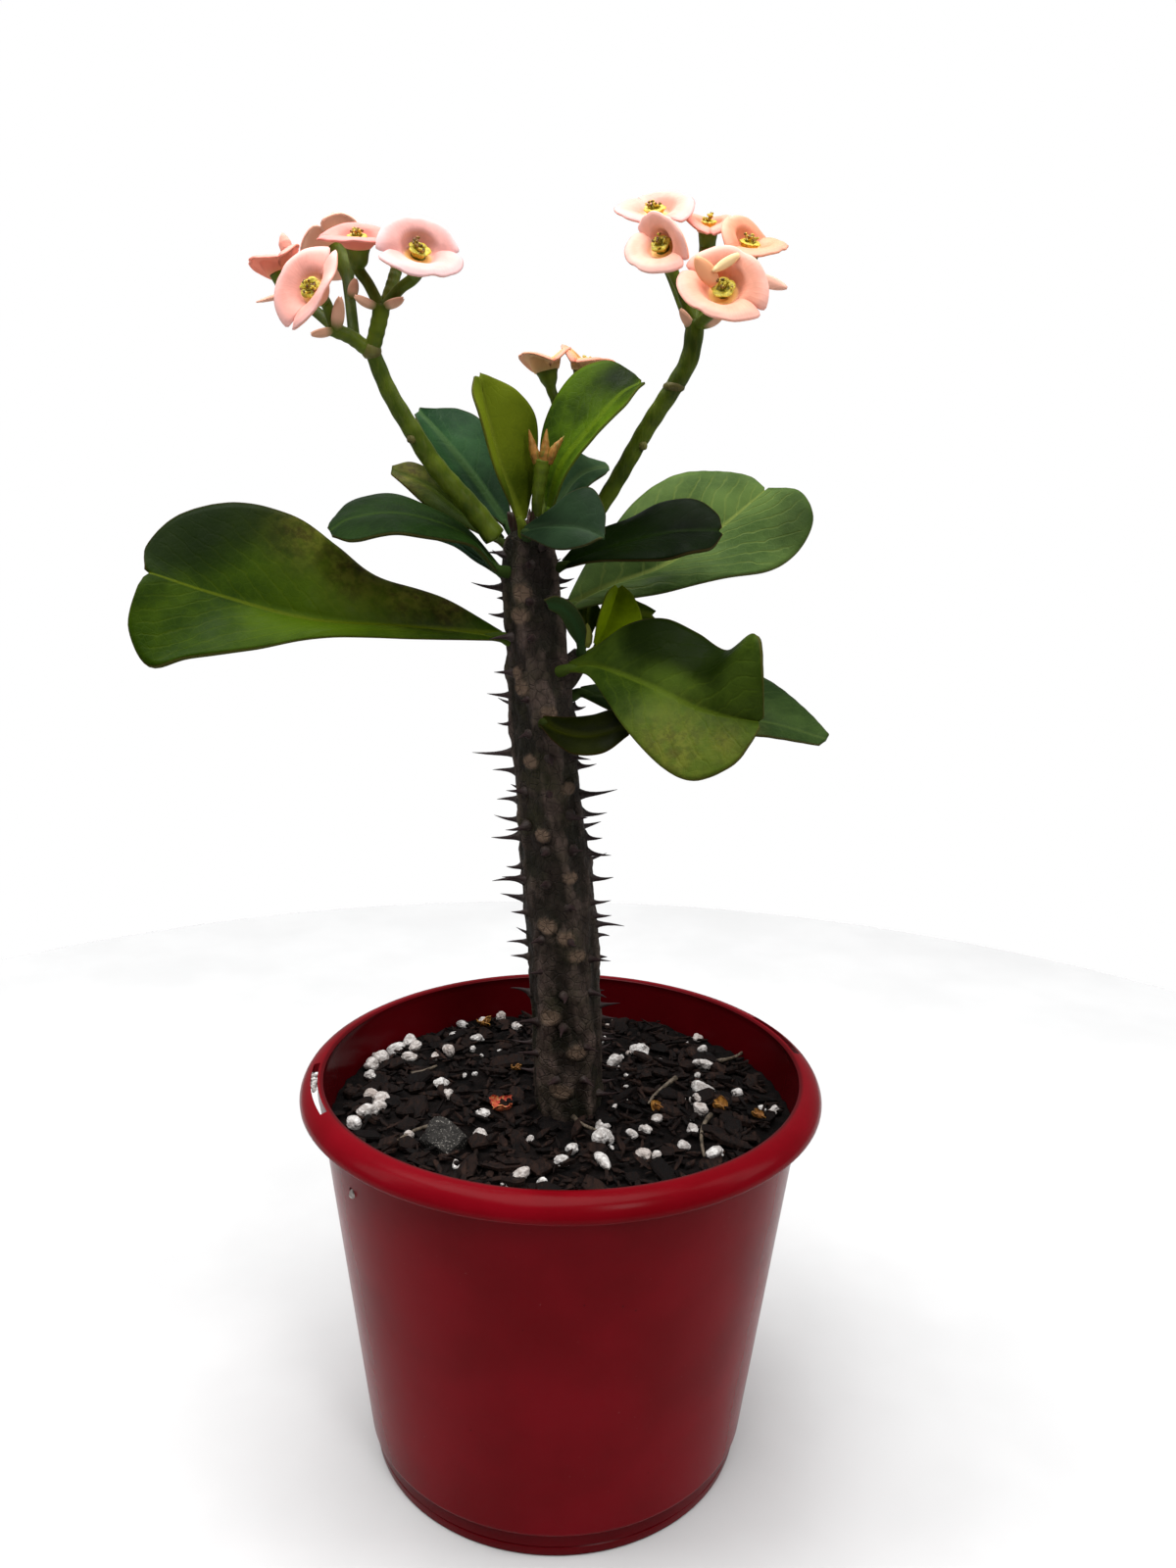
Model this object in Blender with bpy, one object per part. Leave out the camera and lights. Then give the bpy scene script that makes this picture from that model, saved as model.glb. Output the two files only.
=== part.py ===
"""Crown of thorns plant in a round nursery pot, standing on a flat surface.

Metres, +Z up. The origin is the centre of the pot's base, +X is to the right and +Y is away from the
viewer. Lengths and places below are in millimetres, and MM turns them into metres.
"""

import math
import random

import bmesh
import bpy
import numpy as np
from mathutils import Matrix, Vector, noise

MM = 0.001
GAP = 0.4

# Pot: a thin moulded pot with a down-turned rim
RIM_RADIUS = 70.0
POT_HEIGHT = 110.0
POT_SIDES = 48
WALL = 1.3
BASE_RADIUS = 52.0
NECK_RADIUS = 64.8
FOOT_HEIGHT = 7.0
FLOOR_THICKNESS = 2.2
LIP_DROP = 5.6
SLOT_RADII = (65.3, 67.0)
SLOT_DEPTH = 4.5
SLOT_ANGLES = ((-177, -152), (8, 31))
SIDE_HOLE_RADIUS = 1.4
SIDE_HOLE_ANGLES = (-142.6, 37.4)
SIDE_HOLE_HEIGHT = 92.5
DRAIN_HOLES = 8
DRAIN_RADIUS = 3.5
DRAIN_CIRCLE = 43.0

# Soil: a filled cone with bark chips and white grains pressed into its top
SOIL_LEVEL = 97.5
SOIL_SIDES = 42
STEM_PLACE = (2.0, 0.0)
STEM_HOLE_RADIUS = 10.6
STEM_HOLE_FLOOR = 60.0
CHIP_COUNT = 34
GRAIN_COUNT = 12
GRAIN_GROUPS = ((-52, -5), (-57, 16), (-52, 36), (0, -34), (11, -20), (39, 5), (22, 33), (-46, -12))

# Stem: height, sideways place of the axis, diameter
STEM_AXIS = (
    (62, 2, 17.0),
    (97, 2, 18.8),
    (120, 1, 18.6),
    (149, -1, 19.2),
    (170, -3, 18.0),
    (186, -5, 16.8),
    (203, -6, 17.1),
    (223, -8, 15.4),
    (240, -10, 14.2),
    (250, -10, 12.2),
    (253, -10, 8.0),
    (254.5, -10, 3.5),
)
STEM_SIDES = 20
STEM_ROW = 4.2
NODE_STEP = 3.0
NODE_TURN = 137.5
SPINE_SPREAD = 24
SPINE_LENGTH = 6.5
SHOOT_LINE = ((-6, -1, 212), (-1, -2, 216.5), (3.2, -2, 221.5))
SHOOT_RADII = (4.4, 3.9, 2.6)
# Spines seen against the light: height of the tip and reach from the axis
LEFT_SPINES = (
    (246, 11), (238, 15), (235, 9), (231, 12), (211, 14), (204, 12), (196, 19), (191, 14), (183, 14),
    (178, 15), (174, 16), (166, 13), (162, 17), (156, 16), (144, 15), (141, 14),
)
RIGHT_SPINES = (
    (240, 11), (208, 11), (193, 13), (185, 18), (180, 15), (174, 13), (170, 15), (163, 15), (153, 14),
    (150, 17), (146, 13), (141, 12), (123, 14), (118, 13),
)

# Blade: thickness at the rib and at the edge, and the length of one row
RIB_THICKNESS = 1.5
EDGE_THICKNESS = 0.75
BLADE_ROW = 8.0

# Each leaf: rib from base to tip, its two edges, and how far each half bulges
LEAVES = {
    "leaf_low_left_large": (
        [(-17, -3, 226), (-38, -10, 228), (-61, -17, 230), (-82, -22, 236), (-96, -26, 241)],
        [(-17, -2, 227), (-32, -2, 235), (-48, -4, 240), (-57, -6, 247), (-67, -8, 254), (-80, -10, 257),
         (-92, -15, 254), (-98, -21, 247), (-97, -26, 242)],
        [(-17, -4, 225), (-35, -14, 226), (-56, -25, 227), (-71, -33, 225), (-85, -36, 223),
         (-94, -36, 221), (-99, -33, 229), (-98, -30, 237), (-97, -27, 240)],
        1.5,
    ),
    "leaf_left_dark": (
        [(-18, -5, 243), (-27, -8, 251), (-40, -12, 255), (-51, -15, 254), (-56, -18, 251)],
        [(-18, -4, 244), (-26, 0, 252), (-36, 3, 257), (-45, 4, 260), (-54, 0, 258), (-57, -8, 254),
         (-57, -16, 252)],
        [(-18, -6, 242), (-23, -14, 248), (-32, -22, 250), (-40, -26, 251), (-49, -26, 249), (-55, -21, 250)],
        1.0,
    ),
    "leaf_back_left": (
        [(-16, 4, 253), (-25, 9, 265), (-34, 14, 275), (-40, 18, 281)],
        [(-17, 3, 253), (-26, 5, 260), (-35, 8, 271), (-39, 12, 277), (-41, 17, 280)],
        [(-15, 5, 254), (-18, 12, 267), (-23, 19, 278), (-30, 24, 282), (-37, 22, 282), (-40, 19, 282)],
        1.0,
    ),
    "leaf_small_left": (
        [(-17, 3, 249), (-28, 6, 256), (-36, 8, 262), (-46, 10, 266)],
        [(-17, 4, 250), (-26, 8, 261), (-34, 11, 265), (-41, 13, 268), (-46, 11, 267)],
        [(-17, 2, 248), (-28, 3, 253), (-36, 4, 257), (-42, 6, 262), (-46, 9, 265)],
        0.6,
    ),
    "leaf_hidden_left": (
        [(-17, 3, 241), (-25, 10, 245), (-32, 18, 249), (-39, 24, 250)],
        [(-17, 4, 242), (-24, 12, 248), (-32, 20, 252), (-39, 25, 251)],
        [(-17, 2, 241), (-23, 6, 243), (-30, 14, 247), (-38, 22, 249)],
        0.6,
    ),
    "leaf_young_left": (
        [(-12, -7, 254), (-17, -9, 266), (-20, -10, 277), (-22, -9, 287)],
        [(-13, -7, 254), (-18, -13, 266), (-21, -16, 277), (-23, -15, 283), (-23, -11, 287)],
        [(-11, -5, 255), (-9, -3, 267), (-9, -4, 278), (-13, -8, 284), (-19, -9, 287), (-22, -8, 288)],
        -0.8,
    ),
    "leaf_young_right": (
        [(-6, -4, 256), (-3, -5, 267), (4, -5, 276), (11, -4, 284), (16, -3, 287)],
        [(-6, -3, 257), (-8, 3, 271), (-6, 6, 281), (0, 8, 290), (8, 7, 293), (14, 3, 290), (16, -2, 288)],
        [(-5, -5, 256), (-1, -10, 266), (6, -12, 275), (12, -11, 281), (15, -8, 285), (17, -4, 287)],
        0.8,
    ),
    "leaf_front_bluish": (
        [(-11, -9, 252), (-5, -14, 253), (2, -20, 253), (8, -25, 251)],
        [(-11, -8, 253), (-5, -10, 257), (0, -13, 261), (5, -16, 262), (8, -20, 257), (8, -24, 252)],
        [(-12, -9, 251), (-9, -15, 250), (-3, -21, 248), (3, -25, 249), (7, -26, 251)],
        -0.8,
    ),
    "leaf_back_bluish": (
        [(-5, 2, 254), (-1, 5, 262), (3, 8, 266), (9, 11, 268)],
        [(-6, 3, 254), (-5, 9, 265), (0, 12, 271), (4, 13, 270), (8, 13, 269)],
        [(-4, 1, 254), (0, 1, 258), (4, 3, 263), (8, 7, 266), (9, 10, 267)],
        -0.6,
    ),
    "leaf_right_dark": (
        [(-2, -3, 244), (12, -7, 249), (24, -10, 252), (35, -13, 253)],
        [(-2, -2, 245), (4, -1, 251), (14, 1, 255), (22, 2, 259), (30, -1, 260), (35, -7, 257), (36, -12, 254)],
        [(-1, -4, 243), (6, -11, 245), (21, -19, 246), (28, -22, 248), (33, -20, 249), (36, -14, 252)],
        -1.0,
    ),
    "leaf_right_pale": (
        [(-1, 4, 233), (10, 10, 238), (24, 16, 243), (39, 22, 253), (51, 27, 263)],
        [(-1, 5, 234), (4, 14, 244), (11, 22, 253), (18, 29, 261), (28, 33, 267), (39, 34, 268),
         (47, 31, 267), (51, 28, 264)],
        [(0, 3, 232), (12, 4, 235), (24, 6, 237), (39, 8, 241), (51, 11, 243), (59, 15, 248), (63, 19, 256),
         (60, 24, 263), (52, 27, 264)],
        -1.5,
    ),
    "leaf_shoot_upright": (
        [(7, -4, 224), (9, -3, 229), (11, -1, 235), (12, 1, 238)],
        [(6, -4, 225), (7, -5, 231), (9, -3, 237), (11, 1, 239)],
        [(8, -5, 224), (14, -6, 226), (18, -4, 230), (16, -1, 236), (13, 1, 239)],
        -0.4,
    ),
    "leaf_shoot_behind": (
        [(7, 2, 222), (11, 5, 228), (16, 7, 231), (21, 8, 231)],
        [(6, 3, 223), (10, 6, 231), (14, 8, 235), (18, 9, 234), (22, 9, 232)],
        [(8, 1, 222), (14, 3, 224), (20, 4, 226), (23, 7, 229)],
        -0.4,
    ),
    "leaf_shoot_arched": (
        [(3, -6, 225), (2, -10, 230), (-1, -13, 234), (-5, -14, 235)],
        [(4, -6, 225), (4, -11, 230), (1, -14, 235), (-3, -15, 237), (-6, -15, 236)],
        [(2, -6, 225), (0, -9, 228), (-2, -12, 232), (-5, -13, 234)],
        0.4,
    ),
    "leaf_shoot_pale": (
        [(3, 3.4, 222), (4, 7, 227), (4, 9, 231), (5, 11, 234)],
        [(2, 3.4, 222), (1, 7, 228), (1, 9, 232), (4, 11, 235)],
        [(4, 3.4, 222), (6, 6, 227), (8, 8, 231), (6, 10, 235)],
        -0.4,
    ),
    "leaf_front_large": (
        [(0, -7, 219), (7, -13, 220), (19, -23, 217), (31, -33, 213), (43, -41, 212)],
        [(0, -6, 220), (5, -8, 223), (14, -12, 230), (23, -16, 232), (31, -20, 229), (37, -27, 226),
         (42, -39, 231), (43, -44, 223), (44, -42, 213)],
        [(0, -8, 218), (5, -15, 218), (9, -24, 214), (14, -33, 208), (22, -40, 201), (29, -44, 199),
         (37, -46, 203), (41, -45, 208), (43, -43, 211)],
        -1.2,
    ),
    "leaf_right_behind": (
        [(3, 0, 212), (17, -3, 210), (35, -5, 207), (50, -8, 206), (64, -12, 203)],
        [(3, 1, 213), (15, 8, 214), (31, 12, 217), (44, 12, 217), (53, 8, 214), (61, -1, 208), (65, -10, 204)],
        [(3, -1, 211), (17, -8, 206), (34, -13, 204), (48, -15, 204), (62, -14, 202)],
        -1.0,
    ),
    "leaf_small_lower": (
        [(-6, -10, 206), (-1, -15, 204), (6, -19, 204), (15, -21, 207)],
        [(-6, -9, 207), (0, -11, 207), (6, -13, 208), (12, -15, 210), (16, -19, 209)],
        [(-7, -10, 205), (-3, -17, 202), (2, -22, 200), (9, -24, 201), (15, -22, 205)],
        -0.6,
    ),
}

# Flower stalks: each branch is its points and the radii at its two ends
STALKS = {
    "stalk_left": (
        (((-18.6, -4.6, 250.3), (-24, -6, 257), (-32, -9, 266), (-37.5, -11.5, 274.5), (-42.5, -14, 283),
          (-45.8, -17, 291.7)), 2.8, 1.8),
        (((-45.8, -17, 291), (-44, -18, 297), (-43, -18.5, 301)), 1.8, 1.9),
        (((-43, -18.5, 300), (-41.5, -16, 305), (-40.5, -14, 309)), 1.2, 1.4),
        (((-45.8, -17, 291), (-50, -18.5, 294), (-54, -20, 295.5)), 1.7, 1.6),
    ),
    "stalk_right": (
        (((-2.4, 5.6, 250), (1, 6, 253.5), (7, 6, 258), (18, 6, 277), (25, 4, 288), (28, 3, 294), (29, 2, 302)),
         2.0, 2.3),
    ),
    "stalk_middle": (
        (((-8.5, 8.6, 250), (-7, 10, 257), (-6, 15, 272), (-4, 18, 282)), 1.5, 1.6),
    ),
    "stalk_buds": (
        (((-8.5, -4.6, 255.8), (-8, -7, 261), (-7, -8, 267)), 1.3, 1.2),
        (((-7, -8, 266.5), (-9, -8.5, 270), (-10, -8.5, 276)), 1.7, 0.35),
        (((-7, -8, 266.5), (-6.3, -9, 270), (-6, -9, 276.5)), 1.8, 0.35),
        (((-7, -8, 266.5), (-4.5, -9, 270), (-1.6, -9, 275)), 1.7, 0.35),
    ),
}
FUNNEL_LENGTH = 5.0
FUNNEL_RADIUS = 2.9
BRACTEOLES = {
    "stalk_left": (
        ((-42.5, -19, 300.5), (-38, -22, 302.5)), ((-44, -19, 300), (-47.5, -22.5, 302)),
        ((-53, -20.5, 295.5), (-52, -26, 300)), ((-53.5, -20.5, 295.5), (-59.5, -24, 294.5)),
        ((-51.5, -16, 299), (-49.5, -19.5, 303.5)),
    ),
    "stalk_right": (
        ((28.5, 1.5, 300), (24.8, -0.5, 304)), ((30.5, 0, 300.5), (35, -3, 302)),
    ),
}

# Blooms: stalk, where its own branch leaves the stalk, middle, facing, direction of the first bract,
# bract length, and the lift of each bract
BLOOMS = {
    "bloom_left_top": ("stalk_left", (-43.4, -18.5, 300.5), (-48, -19.6, 313.2), (0.05, -0.42, 0.9),
                       (0, -1, 0), 8.8, (14, 12)),
    "bloom_left_front": ("stalk_left", (-53.5, -20, 295.5), (-55.4, -27, 302.6), (-0.2, -0.94, 0.22),
                         (-0.75, 0, 0.65), 9.4, (0, 40)),
    "bloom_left_inner": ("stalk_left", (-42.6, -18.5, 300.5), (-34.2, -23.6, 310.3), (0.3, -0.62, 0.72),
                         (-0.1, -0.5, -0.8), 9.9, (4, 44)),
    "bloom_left_outer": ("stalk_left", (-52.5, -19.5, 295), (-67.8, -9.6, 309.2), (-0.35, 0, 0.93),
                         (-1, -0.3, 0), 8.2, (26, 26)),
    "bloom_left_back": ("stalk_left", (-49.5, -18, 294), (-55.5, -6, 314.5), (-0.5, 0.5, 0.7),
                        (0.4, -0.5, -0.75), 9.0, (4, 10)),
    "bloom_right_left": ("stalk_right", (28.6, 2, 301), (20.4, -3.4, 316.8), (-0.38, -0.72, 0.55),
                         (-0.7, -0.2, -0.6), 9.5, (6, 54)),
    "bloom_right_top": ("stalk_right", (28.2, 3, 300), (18.8, 10.5, 327), (-0.1, -0.5, 0.85),
                        (-0.9, -0.5, 0), 10.8, (6, 10)),
    "bloom_right_front": ("stalk_right", (29.2, 1.5, 301), (33.8, -13.8, 305.8), (-0.12, -0.86, 0.5),
                          (-0.6, -0.3, -0.75), 11.0, (14, 24)),
    "bloom_right_back": ("stalk_right", (29.4, 2.5, 301), (41, 4, 318.4), (0.15, -0.45, 0.88),
                         (0.75, -0.5, 0), 10.2, (10, 34)),
    "bloom_right_middle": ("stalk_right", (29, 3, 300.5), (32, 12.5, 324.6), (0, -0.4, 0.92),
                           (1, 0, 0), 7.6, (20, 20)),
    "bloom_young_left": ("stalk_middle", (-4, 18, 281), (-7.8, 18, 292.6), (-0.35, -0.1, 0.93),
                         (-1, -0.3, 0), 7.4, (44, 40)),
    "bloom_young_right": ("stalk_middle", (-4, 18, 281), (2, 19, 292.6), (0.3, -0.1, 0.95),
                          (1, -0.3, 0), 7.8, (30, 50)),
}
BRACT_ANGLES = (-90, -80, -56, -28, 0, 28, 56, 80)
BRACT_THICKNESS = 0.8
BRACT_CUP = 2.6
# Least share of a place's distance from the crease that is left when a bract is lifted
CREASE_SPREAD = 0.45
CENTRE_WIDTH = 0.22
CENTRE_SIDES = 10
CLOSED_BLOOMS = {
    "bud_left_back": ((-41, -12, 309.8), (-40.5, -10.5, 316), 1.9),
    "bud_left_outer": ((-68.5, 1, 315), (-70, 2.5, 320), 1.6),
    "bud_left_high": ((-57, -2, 319.5), (-57, -1, 324), 1.7),
}
SHOOT_BUD = ((4.4, -2.2, 223.4), (4.4, -1.6, 229.5), 1.5)

POT_RED = (0.19, 0.006, 0.012)
SOIL_BROWN = (0.016, 0.011, 0.009)
BARK_GREY = (0.085, 0.062, 0.05)
LEAF_GREEN = (0.045, 0.11, 0.022)
LEAF_DARK = (0.014, 0.05, 0.022)
LEAF_YOUNG = (0.13, 0.2, 0.015)
STALK_GREEN = (0.05, 0.085, 0.012)
BRACT_PINK = (0.8, 0.3, 0.23)
BRACT_PEACH = (0.8, 0.42, 0.2)
CENTRE_YELLOW = (0.42, 0.3, 0.03)
LEAF_COLOURS = {
    "leaf_left_dark": LEAF_DARK,
    "leaf_back_left": LEAF_DARK,
    "leaf_front_bluish": LEAF_DARK,
    "leaf_back_bluish": LEAF_DARK,
    "leaf_right_dark": LEAF_DARK,
    "leaf_shoot_arched": LEAF_DARK,
    "leaf_young_left": LEAF_YOUNG,
    "leaf_young_right": LEAF_YOUNG,
    "leaf_shoot_upright": LEAF_YOUNG,
}


def clear_scene():
    for obj in list(bpy.data.objects):
        bpy.data.objects.remove(obj, do_unlink=True)


def material(name, colour, roughness):
    made = bpy.data.materials.new(name)
    made.use_nodes = True
    shader = made.node_tree.nodes["Principled BSDF"]
    shader.inputs["Base Color"].default_value = (*colour, 1)
    shader.inputs["Roughness"].default_value = roughness
    shader.inputs["Metallic"].default_value = 0
    return made


def loose_object(name, bm):
    """An object that holds this bmesh and isn't in the scene yet."""
    bmesh.ops.recalc_face_normals(bm, faces=bm.faces)
    if bm.calc_volume(signed=True) < 0:
        bmesh.ops.reverse_faces(bm, faces=bm.faces)
    mesh = bpy.data.meshes.new(name)
    bm.to_mesh(mesh)
    bm.free()
    return bpy.data.objects.new(name, mesh)


def finish(obj, colour, roughness, smooth=True):
    """Puts the object in the scene with its own material."""
    if obj.name not in bpy.context.scene.collection.objects:
        bpy.context.scene.collection.objects.link(obj)
    obj.data.materials.clear()
    obj.data.materials.append(material(obj.name, colour, roughness))
    if smooth:
        obj.data.shade_smooth()
        obj.data.set_sharp_from_angle(angle=math.radians(40))
    return obj


def fused(name, pieces, solver="EXACT"):
    """One closed body made of pieces that overlap."""
    scene = bpy.context.scene.collection
    first, others = pieces[0], pieces[1:]
    scene.objects.link(first)
    group = bpy.data.collections.new(name)
    scene.children.link(group)
    for piece in others:
        group.objects.link(piece)
    union = first.modifiers.new("union", "BOOLEAN")
    union.operation = "UNION"
    union.operand_type = "COLLECTION"
    union.collection = group
    union.solver = solver
    graph = bpy.context.evaluated_depsgraph_get()
    mesh = bpy.data.meshes.new_from_object(first.evaluated_get(graph))
    for piece in pieces:
        bpy.data.objects.remove(piece, do_unlink=True)
    bpy.data.collections.remove(group)
    return bpy.data.objects.new(name, mesh)


def cut(obj, cutter):
    """Takes the cutter's shape out of the object, and keeps the cutter as a hidden guide."""
    bpy.context.scene.collection.objects.link(cutter)
    cutter.hide_render = True
    cutter.display_type = "WIRE"
    difference = obj.modifiers.new(cutter.name, "BOOLEAN")
    difference.operation = "DIFFERENCE"
    difference.solver = "EXACT"
    difference.object = cutter


def spline(points, count):
    """Evenly spaced points along a smooth curve through the given ones."""
    points = np.array(points, float)
    padded = np.vstack([2 * points[0] - points[1], points, 2 * points[-1] - points[-2]])
    dense = []
    for p0, p1, p2, p3 in zip(padded, padded[1:], padded[2:], padded[3:]):
        for t in np.linspace(0, 1, 12, endpoint=False):
            bend = (2 * p0 - 5 * p1 + 4 * p2 - p3) * t**2 + (3 * p1 - p0 - 3 * p2 + p3) * t**3
            dense.append(p1 + ((p2 - p0) * t + bend) / 2)
    dense = np.array([*dense, points[-1]])
    steps = np.linalg.norm(np.diff(dense, axis=0), axis=1)
    along = np.concatenate([[0], np.cumsum(steps)])
    wanted = np.linspace(0, along[-1], count)
    return np.column_stack([np.interp(wanted, along, dense[:, axis]) for axis in range(3)])


def tube(name, points, radii, resolution=1):
    """A closed round bar through the points, with a radius at each of them."""
    curve = bpy.data.curves.new(name, "CURVE")
    curve.dimensions = "3D"
    curve.bevel_depth = 1
    curve.bevel_resolution = resolution
    curve.use_fill_caps = True
    line = curve.splines.new("POLY")
    line.points.add(len(points) - 1)
    for point, place, radius in zip(line.points, points, radii):
        point.co = (*(Vector(place) * MM), 1)
        point.radius = radius * MM
    guide = bpy.data.objects.new(name, curve)
    bm = bmesh.new()
    bm.from_mesh(bpy.data.meshes.new_from_object(guide))
    bpy.data.objects.remove(guide)
    bmesh.ops.remove_doubles(bm, verts=bm.verts, dist=0.001 * MM)
    return loose_object(name, bm)


def turned(name, profile, sides):
    """A closed ring or solid, spun round the Z axis from (radius, height) points in order."""
    bm = bmesh.new()
    rings = []
    for radius, height in profile:
        if radius == 0:
            rings.append([bm.verts.new((0, 0, height * MM))])
            continue
        angles = (2 * math.pi * side / sides for side in range(sides))
        rings.append(
            [bm.verts.new((radius * MM * math.cos(a), radius * MM * math.sin(a), height * MM)) for a in angles]
        )
    for lower, upper in zip(rings, rings[1:]):
        for side in range(sides):
            following = (side + 1) % sides
            if len(lower) == 1:
                bm.faces.new((lower[0], upper[side], upper[following]))
            elif len(upper) == 1:
                bm.faces.new((lower[side], upper[0], lower[following]))
            else:
                bm.faces.new((lower[side], lower[following], upper[following], upper[side]))
    return loose_object(name, bm)


def wall_radius(height):
    """Outer radius of the pot's wall, which flares a little more towards the top."""
    share = (height - FOOT_HEIGHT) / (POT_HEIGHT - LIP_DROP - FOOT_HEIGHT)
    return BASE_RADIUS + 0.7 + (NECK_RADIUS - BASE_RADIUS - 0.7) * share


def pot():
    outer = [(0, 0), (BASE_RADIUS - 1.6, 0), (BASE_RADIUS - 0.8, 0.8), (BASE_RADIUS - 0.2, FOOT_HEIGHT)]
    outer += [(wall_radius(z), z) for z in (FOOT_HEIGHT + 0.8, 55, 103, 107.2)]
    lip = [
        (RIM_RADIUS - 3.6, POT_HEIGHT - 2.2),
        (RIM_RADIUS - 1.8, POT_HEIGHT - 3.6),
        (RIM_RADIUS - 1.2, POT_HEIGHT - LIP_DROP),
        (RIM_RADIUS - 0.1, POT_HEIGHT - LIP_DROP),
        (RIM_RADIUS, POT_HEIGHT - LIP_DROP + 1),
        (RIM_RADIUS - 0.8, POT_HEIGHT - 2.6),
        (RIM_RADIUS - 2.5, POT_HEIGHT - 0.7),
        (RIM_RADIUS - 4.2, POT_HEIGHT),
        (RIM_RADIUS - 6.2, POT_HEIGHT - 0.2),
    ]
    inner = [(wall_radius(z) - WALL, z) for z in (108.6, 103, 55, 6)]
    floor = [(BASE_RADIUS - 3.2, FLOOR_THICKNESS), (0, FLOOR_THICKNESS)]
    body = turned("pot", outer + lip + inner + floor, POT_SIDES)
    finish(body, POT_RED, 0.32)
    for index, (start, end) in enumerate(SLOT_ANGLES):
        cut(body, slot_cutter(index, start, end))
    for index, angle in enumerate(SIDE_HOLE_ANGLES):
        radius = wall_radius(SIDE_HOLE_HEIGHT)
        turn = Matrix.Rotation(math.radians(angle), 4, "Z")
        place = turn @ Vector((radius * MM, 0, SIDE_HOLE_HEIGHT * MM))
        hole = peg(f"side_hole_{index}", SIDE_HOLE_RADIUS, 8)
        hole.matrix_world = Matrix.Translation(place) @ turn @ Matrix.Rotation(math.pi / 2, 4, "Y")
        cut(body, hole)
    for index in range(DRAIN_HOLES):
        angle = 2 * math.pi * (index + 0.5) / DRAIN_HOLES
        hole = peg(f"drain_{index}", DRAIN_RADIUS, 12)
        hole.location = (DRAIN_CIRCLE * MM * math.cos(angle), DRAIN_CIRCLE * MM * math.sin(angle), 0)
        cut(body, hole)


def slot_cutter(index, start, end):
    """An arc-shaped block that opens the flange between the wall and the lip."""
    bm = bmesh.new()
    low, high = POT_HEIGHT - SLOT_DEPTH, POT_HEIGHT + 3
    inner, outer = SLOT_RADII
    profile = ((inner, low), (outer, low), (outer, high), (inner, high))
    corners = [bm.verts.new((r * MM, 0, z * MM)) for r, z in profile]
    face = bm.faces.new(corners)
    bmesh.ops.rotate(bm, verts=corners, matrix=Matrix.Rotation(math.radians(start), 3, "Z"))
    bmesh.ops.spin(bm, geom=[face, *face.edges, *face.verts], cent=(0, 0, 0), axis=(0, 0, 1),
                   angle=math.radians(end - start), steps=6, use_duplicate=False)
    return loose_object(f"slot_{index}", bm)


def peg(name, radius, length):
    bm = bmesh.new()
    bmesh.ops.create_cone(bm, cap_ends=True, segments=12, radius1=radius * MM, radius2=radius * MM,
                          depth=length * MM)
    return loose_object(name, bm)


def soil_height(x, y):
    """Height of the soil's surface: low swells, and a slight mound against the stem."""
    swell = 1.1 * noise.noise(Vector((x / 19, y / 19, 3.1))) + 0.7 * noise.noise(Vector((x / 7, y / 7, 8.4)))
    mound = 1.2 * math.exp(-((math.hypot(x - STEM_PLACE[0], y - STEM_PLACE[1]) / 16) ** 2))
    return SOIL_LEVEL + swell + mound


def soil():
    """The fill, with a plain hole for the stem, and the chips and grains that lie in its top."""
    sides = range(SOIL_SIDES)
    flat = math.cos(math.pi / POT_SIDES)

    def ring(radius, height, centre):
        return [
            bm.verts.new(((centre[0] + radius * math.cos(a)) * MM, (centre[1] + radius * math.sin(a)) * MM,
                          height * MM))
            for a in (2 * math.pi * side / SOIL_SIDES for side in sides)
        ]

    bm = bmesh.new()
    bottom = FLOOR_THICKNESS + GAP
    top_radius = (wall_radius(SOIL_LEVEL) - WALL) * flat - GAP
    rings = [
        ring((wall_radius(6) - WALL) * flat - GAP - 2.8, bottom, (0, 0)),
        ring((wall_radius(6) - WALL) * flat - GAP, 6.5, (0, 0)),
        ring((wall_radius(55) - WALL) * flat - GAP, 55, (0, 0)),
    ]
    for share in np.linspace(1, 0, 8):
        radius = STEM_HOLE_RADIUS + (top_radius - STEM_HOLE_RADIUS) * share
        centre = [place * (1 - share) for place in STEM_PLACE]
        rings.append(ring(radius, SOIL_LEVEL, centre))
        for vert in rings[-1]:
            edge_fade = 0.6 if share == 1 else 1
            rise = soil_height(vert.co.x / MM, vert.co.y / MM) - SOIL_LEVEL
            vert.co.z = (SOIL_LEVEL + rise * edge_fade) * MM
    rings.append(ring(STEM_HOLE_RADIUS, STEM_HOLE_FLOOR, STEM_PLACE))
    for lower, upper in zip(rings, rings[1:]):
        for side in sides:
            following = (side + 1) % SOIL_SIDES
            bm.faces.new((lower[side], lower[following], upper[following], upper[side]))
    bm.faces.new(rings[0])
    bm.faces.new(rings[-1])
    bmesh.ops.triangulate(bm, faces=bm.faces)
    body = loose_object("soil_body", bm)
    draw = random.Random(11)
    pieces = [body]
    for index in range(CHIP_COUNT):
        x, y = soil_place(draw)
        size = (draw.uniform(5, 12), draw.uniform(3, 6.5), draw.uniform(1.6, 2.6))
        pieces.append(chip(f"chip_{index}", (x, y, soil_height(x, y) + 0.1), size, draw))
    places = [(x + draw.gauss(0, 2.6), y + draw.gauss(0, 2.6)) for x, y in GRAIN_GROUPS for _ in range(2)]
    places += [soil_place(draw) for _ in range(GRAIN_COUNT)]
    places = [(x, y) for x, y in places if 15 < math.hypot(x, y) < 58]
    for index, (x, y) in enumerate(places):
        pieces.append(grain(f"grain_{index}", (x, y, soil_height(x, y) + 0.2), draw.uniform(1.4, 2.3), draw))
    finish(fused("soil", pieces, "MANIFOLD"), SOIL_BROWN, 0.9, smooth=False)


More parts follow.
